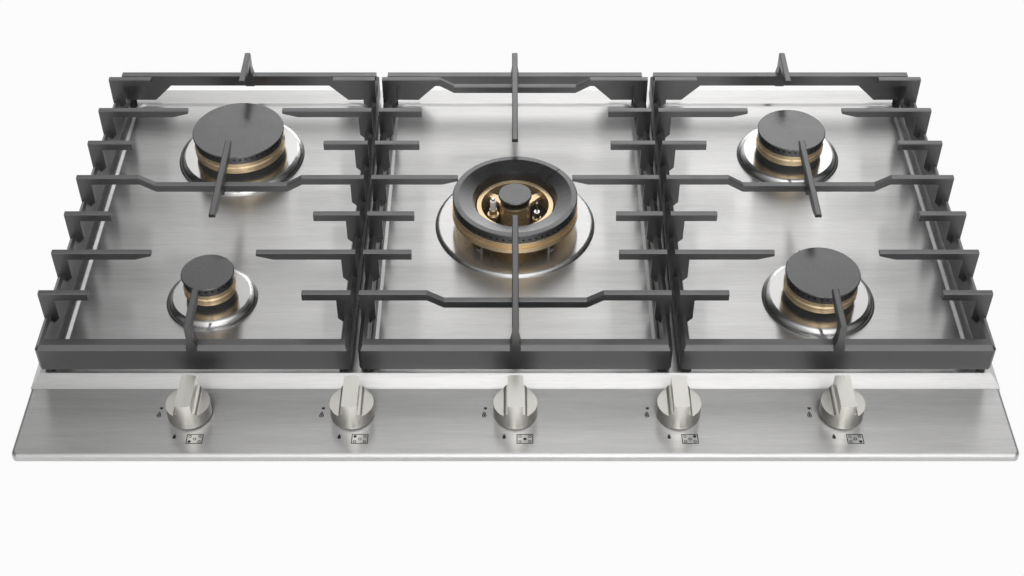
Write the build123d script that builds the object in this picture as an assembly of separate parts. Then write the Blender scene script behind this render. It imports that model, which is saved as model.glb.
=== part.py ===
from build123d import *
import os
from math import cos, hypot, pi, radians, sin, sqrt

# Built-in gas cooktop, five burners, 87 cm class: a pressed steel top on a folded tray,
# three cast pan supports, four round burners, a double-ring burner in the middle and five
# push-and-turn knobs along the front. Millimetres, +Z up, the front at -Y.
# The origin is the middle of the underside.

# ---- Top sheet ----------------------------------------------------------------------
TOP_W = 870.0            # overall width of the top
TOP_D = 527.0            # overall depth of the top
SHEET = 1.0              # sheet thickness
LIP_DROP = 8.0           # the edge folds down this far below the control panel
LIP_RETURN = 8.0         # and back inwards this far
PANEL_DEPTH = 77.5       # flat control panel along the front
PANEL_EDGE_R = 3.0       # rounded front edge of the panel
CORNER_R = 5.0           # corners in plan
DECK_RISE = 7.0          # deck above the control panel
FRONT_SLOPE = 13.1       # run of the slope from the panel up to the deck
SIDE_SLOPE = 6.6         # run of the slopes at the sides and rear
WELL_SINK = 1.5          # spill wells below the border
WELL_EASE = 3.0          # run of the wells' pressed edges
WELL_CORNER_R = 12.0
BORDER_SIDE = 20.6       # top's side to the outer wells
BORDER_FRONT = 112.0     # top's front to the wells
BORDER_REAR = 31.0       # top's rear to the wells
RIDGE_W = 29.0           # raised ridge between two wells

# ---- Tray ---------------------------------------------------------------------------
TRAY_INSET_X = 22.0      # top's side to the tray
TRAY_INSET_Y = 25.5      # top's front or rear to the tray
TRAY_H = 48.0            # worktop face down to the tray's underside
TRAY_SHEET = 1.0
TRAY_FLANGE_GAP = 2.0    # tray flange to the inside of the lip
TRAY_BEVEL = 20.0        # sloping lower edge of the tray's front
POCKET_W = 62.0          # corner pocket for the gas connection
POCKET_D = 52.0
POCKET_H = 36.0
VENT_COUNT = 9
VENT_W = 4.0
VENT_L = 60.0
VENT_PITCH = 14.0
SEAL_W = 10.0            # foam strip between top and worktop
SEAL_H = 2.0
SEAL_INSET = 5.0         # strip behind the lip's edge
CLAMP_COUNT = 2          # hold-down clamps on each side
CLAMP_W = 20.0
CLAMP_T = 2.0
CLAMP_REACH = 17.0
CLAMP_SPACING = 300.0
CLAMP_HEAD_GAP = 6.0     # clamp below the worktop face
CLAMP_SCREW_R = 5.0
CLAMP_SCREW_T = 2.0

# ---- Burners ------------------------------------------------------------------------
BURNER_INSET = 148.0     # top's side to the outer burners' axes
WOK_OFFSET = -1.05       # middle burner from the middle of the supports
FRONT_ROW = 108.5        # middle burner to the front pair
REAR_ROW = 108.5         # middle burner to the rear pair
CAP_R_LARGE = 47.0       # left rear, rapid
CAP_R_MEDIUM = 34.8      # both on the right, semi-rapid
CAP_R_SMALL = 24.8       # left front, simmer
BOSS_RISE = 7.0          # raised seat above the well
BOSS_SHELF = 11.3        # seat beyond the cap
BOSS_SLOPE = 7.1         # run of the seat's rounded side
BOSS_CROWN = 10.0        # radius of that side
SKIRT_INSET = 1.5        # cup skirt inside the cap's edge
SKIRT_H = 6.3
CUP_WALL = 2.5
CUP_DEPTH = 40.0         # cup below its skirt
CUP_TAPER = 5.0          # conical bottom
CUP_FLOOR = 7.5
CUP_NECK_INSET = 6.0     # cup body inside the skirt
THROAT_GAP = 0.8         # cup to the hole in the sheet
HEAD_H = 12.7
HEAD_BAND_H = 7.0        # lower, wider band of the head
HEAD_STEP = 1.2
HEAD_WALL = 4.0
HEAD_FLOOR = 3.0
VENTURI_R = 8.0
CAP_RING_H = 7.5
CAP_RING_INSET = 1.0
CAP_RING_WALL = 3.0
CAP_DISC = 1.8
CAP_EDGE_R = 0.7

# ---- Middle burner, double ring --------------------------------------------------------
WOK_BOSS_RISE = 3.0
WOK_BOSS_R = 74.3
WOK_BOSS_SLOPE = 5.3
WOK_BOSS_CROWN = 5.0
WOK_R = 62.5             # widest band of the brass body
WOK_RIM_R = 61.4         # ring cap
WOK_RIM_FLAT = 5.7
WOK_CONE_R = 41.8        # foot of the cone
WOK_CONE_DROP = 4.2
WOK_PORT_DROP = 5.7      # ports below the ring cap's rim
WOK_CAP_H = 9.2          # ring cap, outer side
WOK_CAP_WALL = 3.0
WOK_FOOT_GAP = 0.3       # ring cap's tapered wall round the inner ring
WOK_FOOT_LAP = 1.5       # and this far down over it
WOK_SLIT_W = 0.8         # expansion slit across the ring cap
WOK_SLIT_ANGLE = 42.0    # from the X axis
WOK_SLIT_FOOT = 4.3      # its round end above the inner ring
WOK_BODY_LIFT = 12.6     # brass body above its seat
WOK_BAND_H = 6.4
WOK_GROOVE_H = 2.6
WOK_GROOVE_DEPTH = 2.0
WOK_BAND2_H = 3.9
WOK_BAND2_INSET = 0.8
WOK_INNER_R = 37.8       # inner ring, outside
WOK_INNER_WALL = 4.4
WOK_INNER_TOP = 22.4     # inner ring's top above the seat
WOK_FLOOR_T = 3.5        # dark floor plate
WOK_FLOOR_R = 44.0
WOK_CUP_R = 30.0
POST_R = 15.2
POST_H = 19.0            # post above the floor plate
COLLAR_H = 4.0
COLLAR_FLARE = 0.6
POST_WALL = 3.0
ARM_ANGLE = 40.0         # arms towards the rear, from the X axis
ARM_W = 13.0
ARM_TIP_W = 5.0
ARM_T = 5.0
ARM_TOP = 18.5           # arms' upper side above the seat
CENTRE_CAP_R = 16.4
CENTRE_RING_INSET = 2.0
CENTRE_RING_H = 7.4
CENTRE_RING_WALL = 1.5
CENTRE_CAP_DISC = 2.6
LEG_R = 55.7             # outer edge of the legs' feet, from the burner's axis
LEG_ANGLE = 39.0         # from the Y axis
LEG_W = 7.8
LEG_T = 1.5
LEG_FOOT = 5.4
LEG_TAB = 2.2            # upright that carries the body

# ---- Flame ports ------------------------------------------------------------------------
PORT_R = 1.0
PORT_PITCH = 5.9
PORT_DROP = 2.5          # below the cap's disc
WOK_PORT_PITCH = 6.35

# ---- Spark electrodes and flame sensors --------------------------------------------------
PLUG_OFFSET = 4.5        # beyond the cap's edge
PLUG_ANGLE = 25.0        # either side of the burner's rear
PLUG_HEX = 8.0           # across flats
PLUG_HEX_H = 4.0
PLUG_STEM_R = 2.4
PLUG_STEM_L = 14.0       # below the seat
CERAMIC_R = 2.7
CERAMIC_H = 17.0
TIP_R = 0.8
TIP_H = 3.0
SENSOR_R = 1.2
SENSOR_H = 19.0
PLUG_HOLE_GAP = 0.4
WOK_PLUG_X = 21.6
WOK_PLUG_Y = -3.0        # from the middle burner's axis
WOK_PLUG_BASE_R = 3.6    # its larger electrode, from the floor plate up
WOK_PLUG_BASE_H = 6.8
WOK_PLUG_FLANGE_R = 5.9
WOK_PLUG_FLANGE_H = 3.0
WOK_PLUG_COLLAR_R = 4.0
WOK_PLUG_COLLAR_H = 6.2
WOK_CERAMIC_R = 3.1
WOK_CERAMIC_H = 10.6
WOK_TIP_R = 1.85
WOK_TIP_H = 2.7
WOK_SENSOR_BASE_R = 4.5  # its flame sensor
WOK_SENSOR_BASE_H = 5.0
WOK_SENSOR_NUT_R = 3.2
WOK_SENSOR_NUT_H = 7.6
WOK_SENSOR_H = 10.5
WOK_SENSOR_BEAD_R = 1.3

# ---- Pan supports ------------------------------------------------------------------------
GRID_GAP = 7.4           # between two supports
GRID_FRONT = 89.3        # top's front edge to the support's front wall
GRID_REAR = 21.2         # top's rear edge to the support's rear wall
FOOT_H = 6.0             # rubber feet on the border
FOOT_R = 4.2
GRID_TOP = 59.9          # finger tops above the border
FRAME_H = 27.4           # frame above the feet
REAR_EXTRA = 3.9         # rear wall above the frame
WALL_T = 11.3            # front and rear walls
RAIL_T = 7.5             # side rails
FRAME_EASE = 3.9         # outer top chamfer of the frame
CORNER_EASE = 2.5        # corners of the frame
ARCH_TOP_W = 171.5       # opening under the rear wall
ARCH_SLOPE = 19.2
ARCH_H = 19.0
FINGER_T = 6.0
FINGER_H = 8.0
FINGER_EASE = 0.85
ROW_PITCH = 54.3
ROWS_EACH_WAY = 3        # rows of fingers to each side of the middle one
UPRIGHT_W = 13.5
UPRIGHT_DEPTH = 12.4     # upright below the frame's top
UPRIGHT_EASE = 8.5
SHORT_REACH = 95.7       # finger ends, from the support's middle
LONG_REACH = 48.4
WOK_REACH = 55.6
TIP_TAPER = 15.6
TIP_H_LONG = 3.7
TIP_H_REAR = 5.8         # rear spines' tips
DIP = 9.0                # lowered middle of the full bars
DIP_HALF_W = 64.2
DIP_SLOPE = 15.0
HUB_W = 16.0             # crossing of a finger and a lowered bar
SPINE_FRONT_TIP = 50.0   # fingers' tips, from the axes of the burners that they point at
SPINE_REAR_TIP = 49.8
SPINE_MID_TIP = 51.5
WOK_FRONT_TIP = 57.7
WOK_REAR_TIP = 58.7
POST_FOOT_W = 9.5        # foot of the front and rear posts

# ---- Knobs -------------------------------------------------------------------------------
KNOB_SETBACK = 47.0      # top's front edge to the knobs' axes
KNOB_R = 19.4
KNOB_DRAFT = 0.4         # narrower at the top by this much, on the radius
KNOB_H = 28.2
KNOB_GAP = 2.2           # knob above the panel
PUSH = 2.0               # travel of the knob
BAR_W = 13.5             # grip bar across the knob
WING_H = 13.4            # side wings above the knob's underside
SCOOP_R = 3.7            # hollow round where the wings meet the bar
NOTCH_W = 1.6            # index notch
NOTCH_L = 4.0
NOTCH_DEPTH = 0.6
KNOB_WALL = 3.0
KNOB_BORE_H = 8.0
HUB_R = 7.5
SPINDLE_R = 4.0
SPINDLE_FLAT = 1.2
SPINDLE_INTO_KNOB = 17.0
GROMMET_R = 9.5
GROMMET_H = 2.0
GROMMET_GAP = 0.4
PANEL_HOLE_R = 6.5

# ---- Gas parts in the tray ---------------------------------------------------------------
RAIL_PIPE_R = 7.5
RAIL_PIPE_Z = 18.0       # above the tray's underside
RAIL_PIPE_WALL = 1.5
RAIL_PIPE_OVERHANG = 34.0  # beyond the outer knobs
BEND_R = 24.0
BRACKET_W = 16.0
BRACKET_D = 10.0
VALVE_W = 26.0
VALVE_D = 28.0
VALVE_TOP = 45.5         # above the tray's underside
VALVE_NECK_R = 8.5
VALVE_NECK_GAP = 0.6     # neck under the sheet
VALVE_SEAT = 3.0         # over the rail
VALVE_EASE = 3.0
BORE_GAP = 0.3
PLUNGER_L = 4.0
PIPE_R = 4.0
PIPE_BEND = 30.0
PIPE_DROP = 6.5          # pipes' axes below the valve's top
OUTLET_R = 6.0
OUTLET_L = 5.0
INLET_R = 10.48          # G1/2 male thread
INLET_L = 18.0
INLET_HEX = 24.0
INLET_HEX_L = 9.0
JET_R = 3.0
JET_H = 9.0
IGNITER_W = 70.0
IGNITER_D = 40.0
IGNITER_H = 26.0
IGNITER_INSET = 120.0    # from the tray's left wall
IGNITER_EDGE_R = 3.0

# ---- Places that follow from the sizes above -----------------------------------------------
FRONT = -TOP_D / 2
BURNER_PITCH_X = TOP_W / 2 - BURNER_INSET
CENTRE_WELL_W = BURNER_PITCH_X - RIDGE_W
TRAY_W = TOP_W - 2 * TRAY_INSET_X
TRAY_D = TOP_D - 2 * TRAY_INSET_Y
INLET_X = TRAY_W / 2 - POCKET_W / 2
GRID_W = BURNER_PITCH_X - GRID_GAP
GRID_D = TOP_D - GRID_FRONT - GRID_REAR
LIP_Z = TRAY_H
PANEL_Z = LIP_Z + LIP_DROP
DECK_Z = PANEL_Z + DECK_RISE
WELL_Z = DECK_Z - WELL_SINK
BOSS_Z = WELL_Z + BOSS_RISE
WOK_Y = FRONT + GRID_FRONT + GRID_D / 2 + WOK_OFFSET
WOK_SEAT_Z = WELL_Z + WOK_BOSS_RISE
GRID_Z = DECK_Z + FOOT_H
FRAME_TOP = GRID_Z + FRAME_H
FINGER_TOP = DECK_Z + GRID_TOP
KNOB_Y = FRONT + KNOB_SETBACK
KNOB_Z = PANEL_Z + KNOB_GAP

BURNERS = {              # x, y from the middle burner, cap radius
    "left_rear": (-BURNER_PITCH_X, REAR_ROW, CAP_R_LARGE),
    "right_rear": (BURNER_PITCH_X, REAR_ROW, CAP_R_MEDIUM),
    "right_front": (BURNER_PITCH_X, -FRONT_ROW, CAP_R_MEDIUM),
    "left_front": (-BURNER_PITCH_X, -FRONT_ROW, CAP_R_SMALL),
}
KNOBS = {                # burner worked by each knob, left to right
    "left_front": -BURNER_PITCH_X,
    "left_rear": -BURNER_PITCH_X / 2,
    "wok": 0.0,
    "right_rear": BURNER_PITCH_X / 2,
    "right_front": BURNER_PITCH_X,
}
GRIDS = {"left": -BURNER_PITCH_X, "centre": 0.0, "right": BURNER_PITCH_X}

os.makedirs("parts", exist_ok=True)


def save(shape, node):
    export_step(shape, "parts/" + node + ".step")


def block(x0, x1, y0, y1, z0, z1):
    """Box between two corners."""
    middle = Pos((x0 + x1) / 2, (y0 + y1) / 2, (z0 + z1) / 2)
    return middle * Box(x1 - x0, y1 - y0, z1 - z0)


def post(radius, z0, z1, x=0.0, y=0.0):
    """Upright cylinder from z0 to z1."""
    return Pos(x, y, (z0 + z1) / 2) * Cylinder(radius, z1 - z0)


def turned(profile):
    """Solid of revolution about Z from (radius, height) points."""
    return revolve(Plane.XZ * make_face(Polyline(*profile, close=True)), Axis.Z)


def frustum(lower, upper, z0, z1):
    """Loft between two flat outlines."""
    return loft([Pos(0, 0, z0) * lower, Pos(0, 0, z1) * upper], ruled=True)


def hex_bar(across_flats, z0, z1):
    return Pos(0, 0, z0) * extrude(RegularPolygon(across_flats / 2, 6, major_radius=False), z1 - z0)


# ---- Pressed top ---------------------------------------------------------------------------
def well_outlines(inset):
    """Middle x, width and the two corners in y of each spill well."""
    y0 = FRONT + BORDER_FRONT
    y1 = -FRONT - BORDER_REAR
    inner = CENTRE_WELL_W / 2 + RIDGE_W
    outer = TOP_W / 2 - BORDER_SIDE
    middle = (inner + outer) / 2
    for x, width in ((0, CENTRE_WELL_W), (-middle, outer - inner), (middle, outer - inner)):
        yield x, width + 2 * inset, y1 - y0 + 2 * inset, (y0 + y1) / 2


def pressed_form(inset):
    """Everything under the outer face of the top, or under its inner face."""
    half_w = TOP_W / 2 - inset
    front = FRONT + inset
    step = FRONT + PANEL_DEPTH + inset
    floor = LIP_Z + inset
    panel = block(-half_w, half_w, front, step, floor, PANEL_Z - inset)
    panel = fillet(panel.edges().filter_by(Axis.Z).group_by(Axis.Y)[0], CORNER_R - inset)
    top_edges = panel.edges().group_by(Axis.Z)[-1]
    rear_edge = top_edges.sort_by(Axis.Y)[-1]
    panel = fillet([e for e in top_edges if e != rear_edge], PANEL_EDGE_R - inset)
    deck = block(-half_w, half_w, step, -front, floor, PANEL_Z - inset)
    low = Pos(0, (step - front) / 2) * Rectangle(2 * half_w, -front - step)
    run = SIDE_SLOPE
    high_front = step + FRONT_SLOPE
    high_rear = -front - run
    high = Pos(0, (high_front + high_rear) / 2) * Rectangle(2 * (half_w - run), high_rear - high_front)
    deck += frustum(low, high, PANEL_Z - inset, DECK_Z - inset)
    rounded = extrude(RectangleRounded(2 * half_w, -2 * front, CORNER_R - inset), DECK_Z + inset)
    form = panel + (deck & rounded)
    for x, width, depth, y in well_outlines(inset):
        edge = RectangleRounded(width, depth, WELL_CORNER_R)
        flat = RectangleRounded(width - 2 * WELL_EASE, depth - 2 * WELL_EASE, WELL_CORNER_R - WELL_EASE)
        form -= Pos(x, y) * frustum(flat, edge, WELL_Z - inset, DECK_Z - inset)
    for x, y, cap_r in BURNERS.values():
        form += Pos(x, WOK_Y + y) * seat(cap_r + BOSS_SHELF, BOSS_RISE, BOSS_SLOPE, BOSS_CROWN, inset)
    form += Pos(0, WOK_Y) * seat(WOK_BOSS_R, WOK_BOSS_RISE, WOK_BOSS_SLOPE, WOK_BOSS_CROWN, inset)
    return form


def seat(radius, rise, slope, crown, inset):
    """Raised burner seat whose side is a round of radius crown, from the seat's edge to its foot."""
    half = hypot(slope, rise) / 2
    reach = sqrt(crown ** 2 - half ** 2)
    centre_r = radius + slope / 2 - reach * rise / (2 * half)
    centre_z = WELL_Z + rise / 2 - reach * slope / (2 * half)
    top = WELL_Z + rise - inset
    foot = WELL_Z - inset
    edge_r = centre_r + sqrt((crown - inset) ** 2 - (top - centre_z) ** 2)
    foot_r = centre_r + sqrt((crown - inset) ** 2 - (foot - centre_z) ** 2)
    side = RadiusArc((edge_r, top), (foot_r, foot), crown - inset)
    flat = Polyline((foot_r, foot), (0, foot), (0, top), (edge_r, top))
    return revolve(Plane.XZ * make_face(Curve() + [flat, side]), Axis.Z)


def cup_body_r(cap_r):
    return cap_r - SKIRT_INSET - CUP_NECK_INSET


def plug_places():
    """x, y, offset and seat height of each electrode and its mirrored sensor."""
    for x, y, cap_r in BURNERS.values():
        out = cap_r + PLUG_OFFSET
        dx = out * sin(radians(PLUG_ANGLE))
        dy = out * cos(radians(PLUG_ANGLE))
        yield x, WOK_Y + y + dy, dx, BOSS_Z
    yield 0.0, WOK_Y + WOK_PLUG_Y, WOK_PLUG_X, WOK_SEAT_Z + WOK_FLOOR_T


def hob_top():
    opening = TOP_W - 2 * (SHEET + LIP_RETURN)
    opening_d = TOP_D - 2 * (SHEET + LIP_RETURN)
    top = pressed_form(0.0) - pressed_form(SHEET)
    top -= Pos(0, 0, LIP_Z + SHEET / 2) * Box(opening, opening_d, 2 * SHEET)
    for x, y, cap_r in BURNERS.values():
        top -= post(cup_body_r(cap_r) + THROAT_GAP, PANEL_Z, FINGER_TOP, x, WOK_Y + y)
    top -= post(WOK_CUP_R + THROAT_GAP, PANEL_Z, FINGER_TOP, 0, WOK_Y)
    for x, y, dx, z in plug_places():
        if x:
            for side in (-1, 1):
                top -= post(PLUG_STEM_R + PLUG_HOLE_GAP, PANEL_Z, FINGER_TOP, x + side * dx, y)
    for x in KNOBS.values():
        top -= post(PANEL_HOLE_R, LIP_Z, FINGER_TOP, x, KNOB_Y)
    return top


save(hob_top(), "hob_top")


# ---- Tray, foam strip, clamps -----------------------------------------------------------------
def tray_form(inset, top):
    """Prism of the tray's side view, bevelled along the lower front."""
    half_d = TRAY_D / 2 - inset
    side = make_face(Polyline(
        (-half_d, inset + TRAY_BEVEL), (-half_d + TRAY_BEVEL, inset), (half_d, inset), (half_d, top),
        (-half_d, top), close=True))
    form = extrude(Plane.YZ * side, TRAY_W / 2 - inset, both=True)
    return fillet(form.edges().filter_by(Axis.Z), CORNER_R - inset)


def tray_shell():
    half_w = TRAY_W / 2
    half_d = TRAY_D / 2
    flange_w = TOP_W / 2 - SHEET - TRAY_FLANGE_GAP
    flange_d = TOP_D / 2 - SHEET - TRAY_FLANGE_GAP
    flange_z = LIP_Z + SHEET
    tray = tray_form(0, flange_z + TRAY_SHEET)
    tray += block(-flange_w, flange_w, -flange_d, flange_d, flange_z, flange_z + TRAY_SHEET)
    x0 = half_w - POCKET_W
    y0 = half_d - POCKET_D
    hollow = tray_form(TRAY_SHEET, flange_z + 2 * TRAY_SHEET)
    hollow -= block(x0 - TRAY_SHEET, half_w, y0 - TRAY_SHEET, half_d, 0, POCKET_H + TRAY_SHEET)
    tray -= hollow
    tray -= block(x0, half_w + TRAY_SHEET, y0, half_d + TRAY_SHEET, -TRAY_SHEET, POCKET_H)
    inlet = Pos(INLET_X, y0, RAIL_PIPE_Z) * Rot(90, 0, 0) * Cylinder(RAIL_PIPE_R + BORE_GAP, 4 * TRAY_SHEET)
    tray -= inlet
    for side in (-1, 1):
        for i in range(VENT_COUNT):
            x = side * (BURNER_PITCH_X / 2) + (i - (VENT_COUNT - 1) / 2) * VENT_PITCH
            tray -= block(x - VENT_W / 2, x + VENT_W / 2, -VENT_L / 2, VENT_L / 2, -1, 2 * TRAY_SHEET)
    return tray


save(tray_shell(), "tray")

strip_w = TOP_W - 2 * SEAL_INSET
strip_d = TOP_D - 2 * SEAL_INSET
strip = Box(strip_w, strip_d, SEAL_H) - Box(strip_w - 2 * SEAL_W, strip_d - 2 * SEAL_W, 2 * SEAL_H)
save(Pos(0, 0, LIP_Z - SEAL_H / 2) * strip, "worktop_seal")


def clamp():
    """Folded hook on the tray's wall that grips the worktop from below."""
    x = TRAY_W / 2
    plate = block(x, x + CLAMP_T, -CLAMP_W / 2, CLAMP_W / 2, CLAMP_T, LIP_Z - CLAMP_HEAD_GAP)
    hook = block(x, x + CLAMP_REACH, -CLAMP_W / 2, CLAMP_W / 2, CLAMP_T, 2 * CLAMP_T)
    screw = Pos(x + CLAMP_T + CLAMP_SCREW_T / 2, 0, LIP_Z / 2) * Rot(0, 90, 0) * Cylinder(CLAMP_SCREW_R, CLAMP_SCREW_T)
    return plate + hook, screw


clamps = []
screws = []
for side in (0, 180):
    for i in range(CLAMP_COUNT):
        y = (i - (CLAMP_COUNT - 1) / 2) * CLAMP_SPACING
        place = Rot(0, 0, side) * Pos(0, y, 0)
        plate, screw = clamp()
        clamps.append(place * plate)
        screws.append(place * screw)
save(Compound(clamps), "hold_down_clamps")
save(Compound(screws), "clamp_screws")


# ---- Round burners -----------------------------------------------------------------------------
def ported(ring, radius, wall, pitch, z):
    """The ring with its flame ports drilled through the wall."""
    count = round(2 * pi * radius / pitch)
    drill = Pos(radius - wall / 2, 0, z) * Rot(0, 90, 0) * Cylinder(PORT_R, 3 * wall)
    return ring - [Rot(0, 0, 360 * i / count) * drill for i in range(count)]


def burner_cup(cap_r):
    """Cast cup: a dark skirt on the seat, with the mixing chamber hanging through the sheet."""
    skirt = cap_r - SKIRT_INSET
    body = cup_body_r(cap_r)
    top = BOSS_Z + SKIRT_H
    low = BOSS_Z - CUP_DEPTH
    cup = turned([
        (0, low), (JET_R + CUP_WALL, low), (body, low + CUP_TAPER), (body, BOSS_Z), (skirt, BOSS_Z),
        (skirt, top), (body - CUP_WALL, top), (body - CUP_WALL, low + CUP_FLOOR), (0, low + CUP_FLOOR)])
    return cup - post(JET_R, low - CUP_WALL, low + JET_H)


def burner_head(cap_r):
    """Brass head: a wide lower band, a narrower one, and the mixing tube down its middle."""
    z0 = BOSS_Z + SKIRT_H
    z1 = z0 + HEAD_H
    band = cap_r - SKIRT_INSET + HEAD_STEP
    neck = band - HEAD_STEP
    wall = neck - HEAD_WALL
    return turned([
        (VENTURI_R, z0 - CUP_WALL), (VENTURI_R + CUP_WALL, z0 - CUP_WALL), (VENTURI_R + CUP_WALL, z0),
        (band - HEAD_STEP, z0), (band, z0 + HEAD_STEP), (band, z0 + HEAD_BAND_H),
        (neck, z0 + HEAD_BAND_H + HEAD_STEP), (neck, z1), (wall, z1), (wall, z0 + HEAD_FLOOR),
        (VENTURI_R + CUP_WALL, z0 + HEAD_FLOOR), (VENTURI_R + CUP_WALL, z1 - HEAD_FLOOR),
        (VENTURI_R, z1 - HEAD_FLOOR)])


def burner_cap(radius, ring_r, ring_h, disc, wall, z, pitch):
    """Flat cap with its ring of flame ports below."""
    top = z + ring_h + disc
    cap = turned([
        (0, top), (radius - CAP_EDGE_R, top), (radius, top - CAP_EDGE_R), (radius, z + ring_h),
        (ring_r, z + ring_h), (ring_r, z), (ring_r - wall, z), (ring_r - wall, z + ring_h), (0, z + ring_h)])
    return ported(cap, ring_r, wall, pitch, z + ring_h - PORT_DROP)


for name, (x, y, cap_r) in BURNERS.items():
    place = Pos(x, WOK_Y + y)
    cap_z = BOSS_Z + SKIRT_H + HEAD_H
    cap = burner_cap(cap_r, cap_r - CAP_RING_INSET, CAP_RING_H, CAP_DISC, CAP_RING_WALL, cap_z, PORT_PITCH)
    save(place * burner_cup(cap_r), name + "_cup")
    save(place * burner_head(cap_r), name + "_head")
    save(place * cap, name + "_cap")


# ---- Middle burner ---------------------------------------------------------------------------------
def wok_cup():
    """Dark floor plate of the middle burner, with its mixing chamber below the sheet."""
    z0 = WOK_SEAT_Z
    z1 = z0 + WOK_FLOOR_T
    low = BOSS_Z - CUP_DEPTH
    cup = turned([
        (0, low), (JET_R + CUP_WALL, low), (WOK_CUP_R, low + CUP_TAPER), (WOK_CUP_R, z0),
        (WOK_FLOOR_R, z0), (WOK_FLOOR_R, z1), (0, z1)])
    cup -= turned([
        (0, low + CUP_FLOOR), (WOK_CUP_R - CUP_WALL, low + CUP_FLOOR), (WOK_CUP_R - CUP_WALL, z0),
        (0, z0)])
    cup -= post(JET_R, low - CUP_WALL, low + JET_H)
    for side in (-1, 1):
        cup -= post(PLUG_STEM_R + PLUG_HOLE_GAP, z0 - 1, z1 + 1, side * WOK_PLUG_X, WOK_PLUG_Y)
    return cup


def wok_body():
    """Brass body: banded outer ring, inner ring, and the post that two arms tie to it."""
    seat_z = WOK_SEAT_Z
    floor = seat_z + WOK_FLOOR_T
    z0 = seat_z + WOK_BODY_LIFT
    z1 = z0 + WOK_BAND_H
    z2 = z1 + WOK_GROOVE_H
    z3 = z2 + WOK_BAND2_H
    inner_top = seat_z + WOK_INNER_TOP
    arm_top = seat_z + ARM_TOP
    groove = WOK_R - WOK_GROOVE_DEPTH
    band2 = WOK_R - WOK_BAND2_INSET
    inside = WOK_INNER_R - WOK_INNER_WALL
    body = turned([
        (inside, floor), (WOK_INNER_R, floor), (WOK_INNER_R, z0), (WOK_R - HEAD_STEP, z0), (WOK_R, z0 + HEAD_STEP),
        (WOK_R, z1), (groove, z1), (groove, z2), (band2, z2), (band2, z3), (band2 - HEAD_WALL, z3),
        (band2 - HEAD_WALL, z0 + HEAD_FLOOR), (WOK_INNER_R, z0 + HEAD_FLOOR), (WOK_INNER_R, inner_top),
        (inside, inner_top)])
    post_top = floor + POST_H
    collar = post_top + COLLAR_H
    column = turned([
        (0, floor), (POST_R, floor), (POST_R, post_top), (POST_R + COLLAR_FLARE, collar), (POST_R - POST_WALL, collar),
        (POST_R - POST_WALL, post_top), (0, post_top)])
    tip = inside + WOK_INNER_WALL / 2
    arm = make_face(Polyline(
        (0, -ARM_W / 2), (tip, -ARM_TIP_W / 2), (tip, ARM_TIP_W / 2), (0, ARM_W / 2), close=True))
    arm = Pos(0, 0, arm_top - ARM_T) * extrude(arm, ARM_T)
    for angle in (ARM_ANGLE, 180 - ARM_ANGLE):
        body += Rot(0, 0, angle) * arm
    return body + column


def wok_ring_cap():
    """Ring cap: flat rim, shallow cone, a tapered wall down to the inner ring, ports in the side."""
    z0 = WOK_SEAT_Z + WOK_BODY_LIFT + WOK_BAND_H + WOK_GROOVE_H + WOK_BAND2_H
    z1 = z0 + WOK_CAP_H
    ring_top = WOK_SEAT_Z + WOK_INNER_TOP
    foot = ring_top - WOK_FOOT_LAP
    inner = WOK_INNER_R + WOK_FOOT_GAP
    shelf = z1 - WOK_CAP_WALL
    cone_foot = z1 - WOK_CONE_DROP
    crease = WOK_RIM_R - WOK_RIM_FLAT
    cap = turned([
        (WOK_RIM_R - CAP_EDGE_R, z0), (WOK_RIM_R, z0 + CAP_EDGE_R), (WOK_RIM_R, z1 - CAP_EDGE_R),
        (WOK_RIM_R - CAP_EDGE_R, z1), (crease, z1), (WOK_CONE_R, cone_foot), (inner, foot),
        (inner + CAP_DISC, foot), (WOK_CONE_R + CAP_DISC, cone_foot - WOK_CAP_WALL), (crease, shelf),
        (WOK_RIM_R - WOK_CAP_WALL, shelf), (WOK_RIM_R - WOK_CAP_WALL, z0)])
    cap = ported(cap, WOK_RIM_R, WOK_CAP_WALL, WOK_PORT_PITCH, z1 - WOK_PORT_DROP)
    half_w = WOK_SLIT_W / 2
    end = ring_top + WOK_SLIT_FOOT
    slit = block(WOK_CONE_R - 1, WOK_RIM_R + 1, -half_w, half_w, cone_foot - WOK_CAP_WALL, z1 + 1)
    slit += block(inner, WOK_CONE_R + CAP_DISC, -half_w, half_w, end, cone_foot)
    slit += Pos(WOK_CONE_R, 0, end) * Rot(0, 90, 0) * Cylinder(PORT_R, 3 * CAP_DISC)
    return cap - Rot(0, 0, WOK_SLIT_ANGLE) * slit


save(Pos(0, WOK_Y) * wok_cup(), "wok_cup")
save(Pos(0, WOK_Y) * wok_body(), "wok_body")
save(Pos(0, WOK_Y) * wok_ring_cap(), "wok_ring_cap")
centre_z = WOK_SEAT_Z + WOK_FLOOR_T + POST_H + COLLAR_H
centre_cap = burner_cap(
    CENTRE_CAP_R, CENTRE_CAP_R - CENTRE_RING_INSET, CENTRE_RING_H, CENTRE_CAP_DISC, CENTRE_RING_WALL, centre_z,
    PORT_PITCH)
save(Pos(0, WOK_Y) * centre_cap, "wok_centre_cap")


def wok_leg(side):
    """Flat foot on the seat, with a narrow upright at one end that carries the brass body."""
    outer = -LEG_R
    foot = block(-LEG_W / 2, LEG_W / 2, outer, outer + LEG_FOOT, WOK_SEAT_Z, WOK_SEAT_Z + LEG_T)
    x0, x1 = sorted((side * LEG_W / 2, side * (LEG_W / 2 - LEG_TAB)))
    return foot + block(x0, x1, outer, outer + LEG_TAB, WOK_SEAT_Z, WOK_SEAT_Z + WOK_BODY_LIFT)


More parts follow.
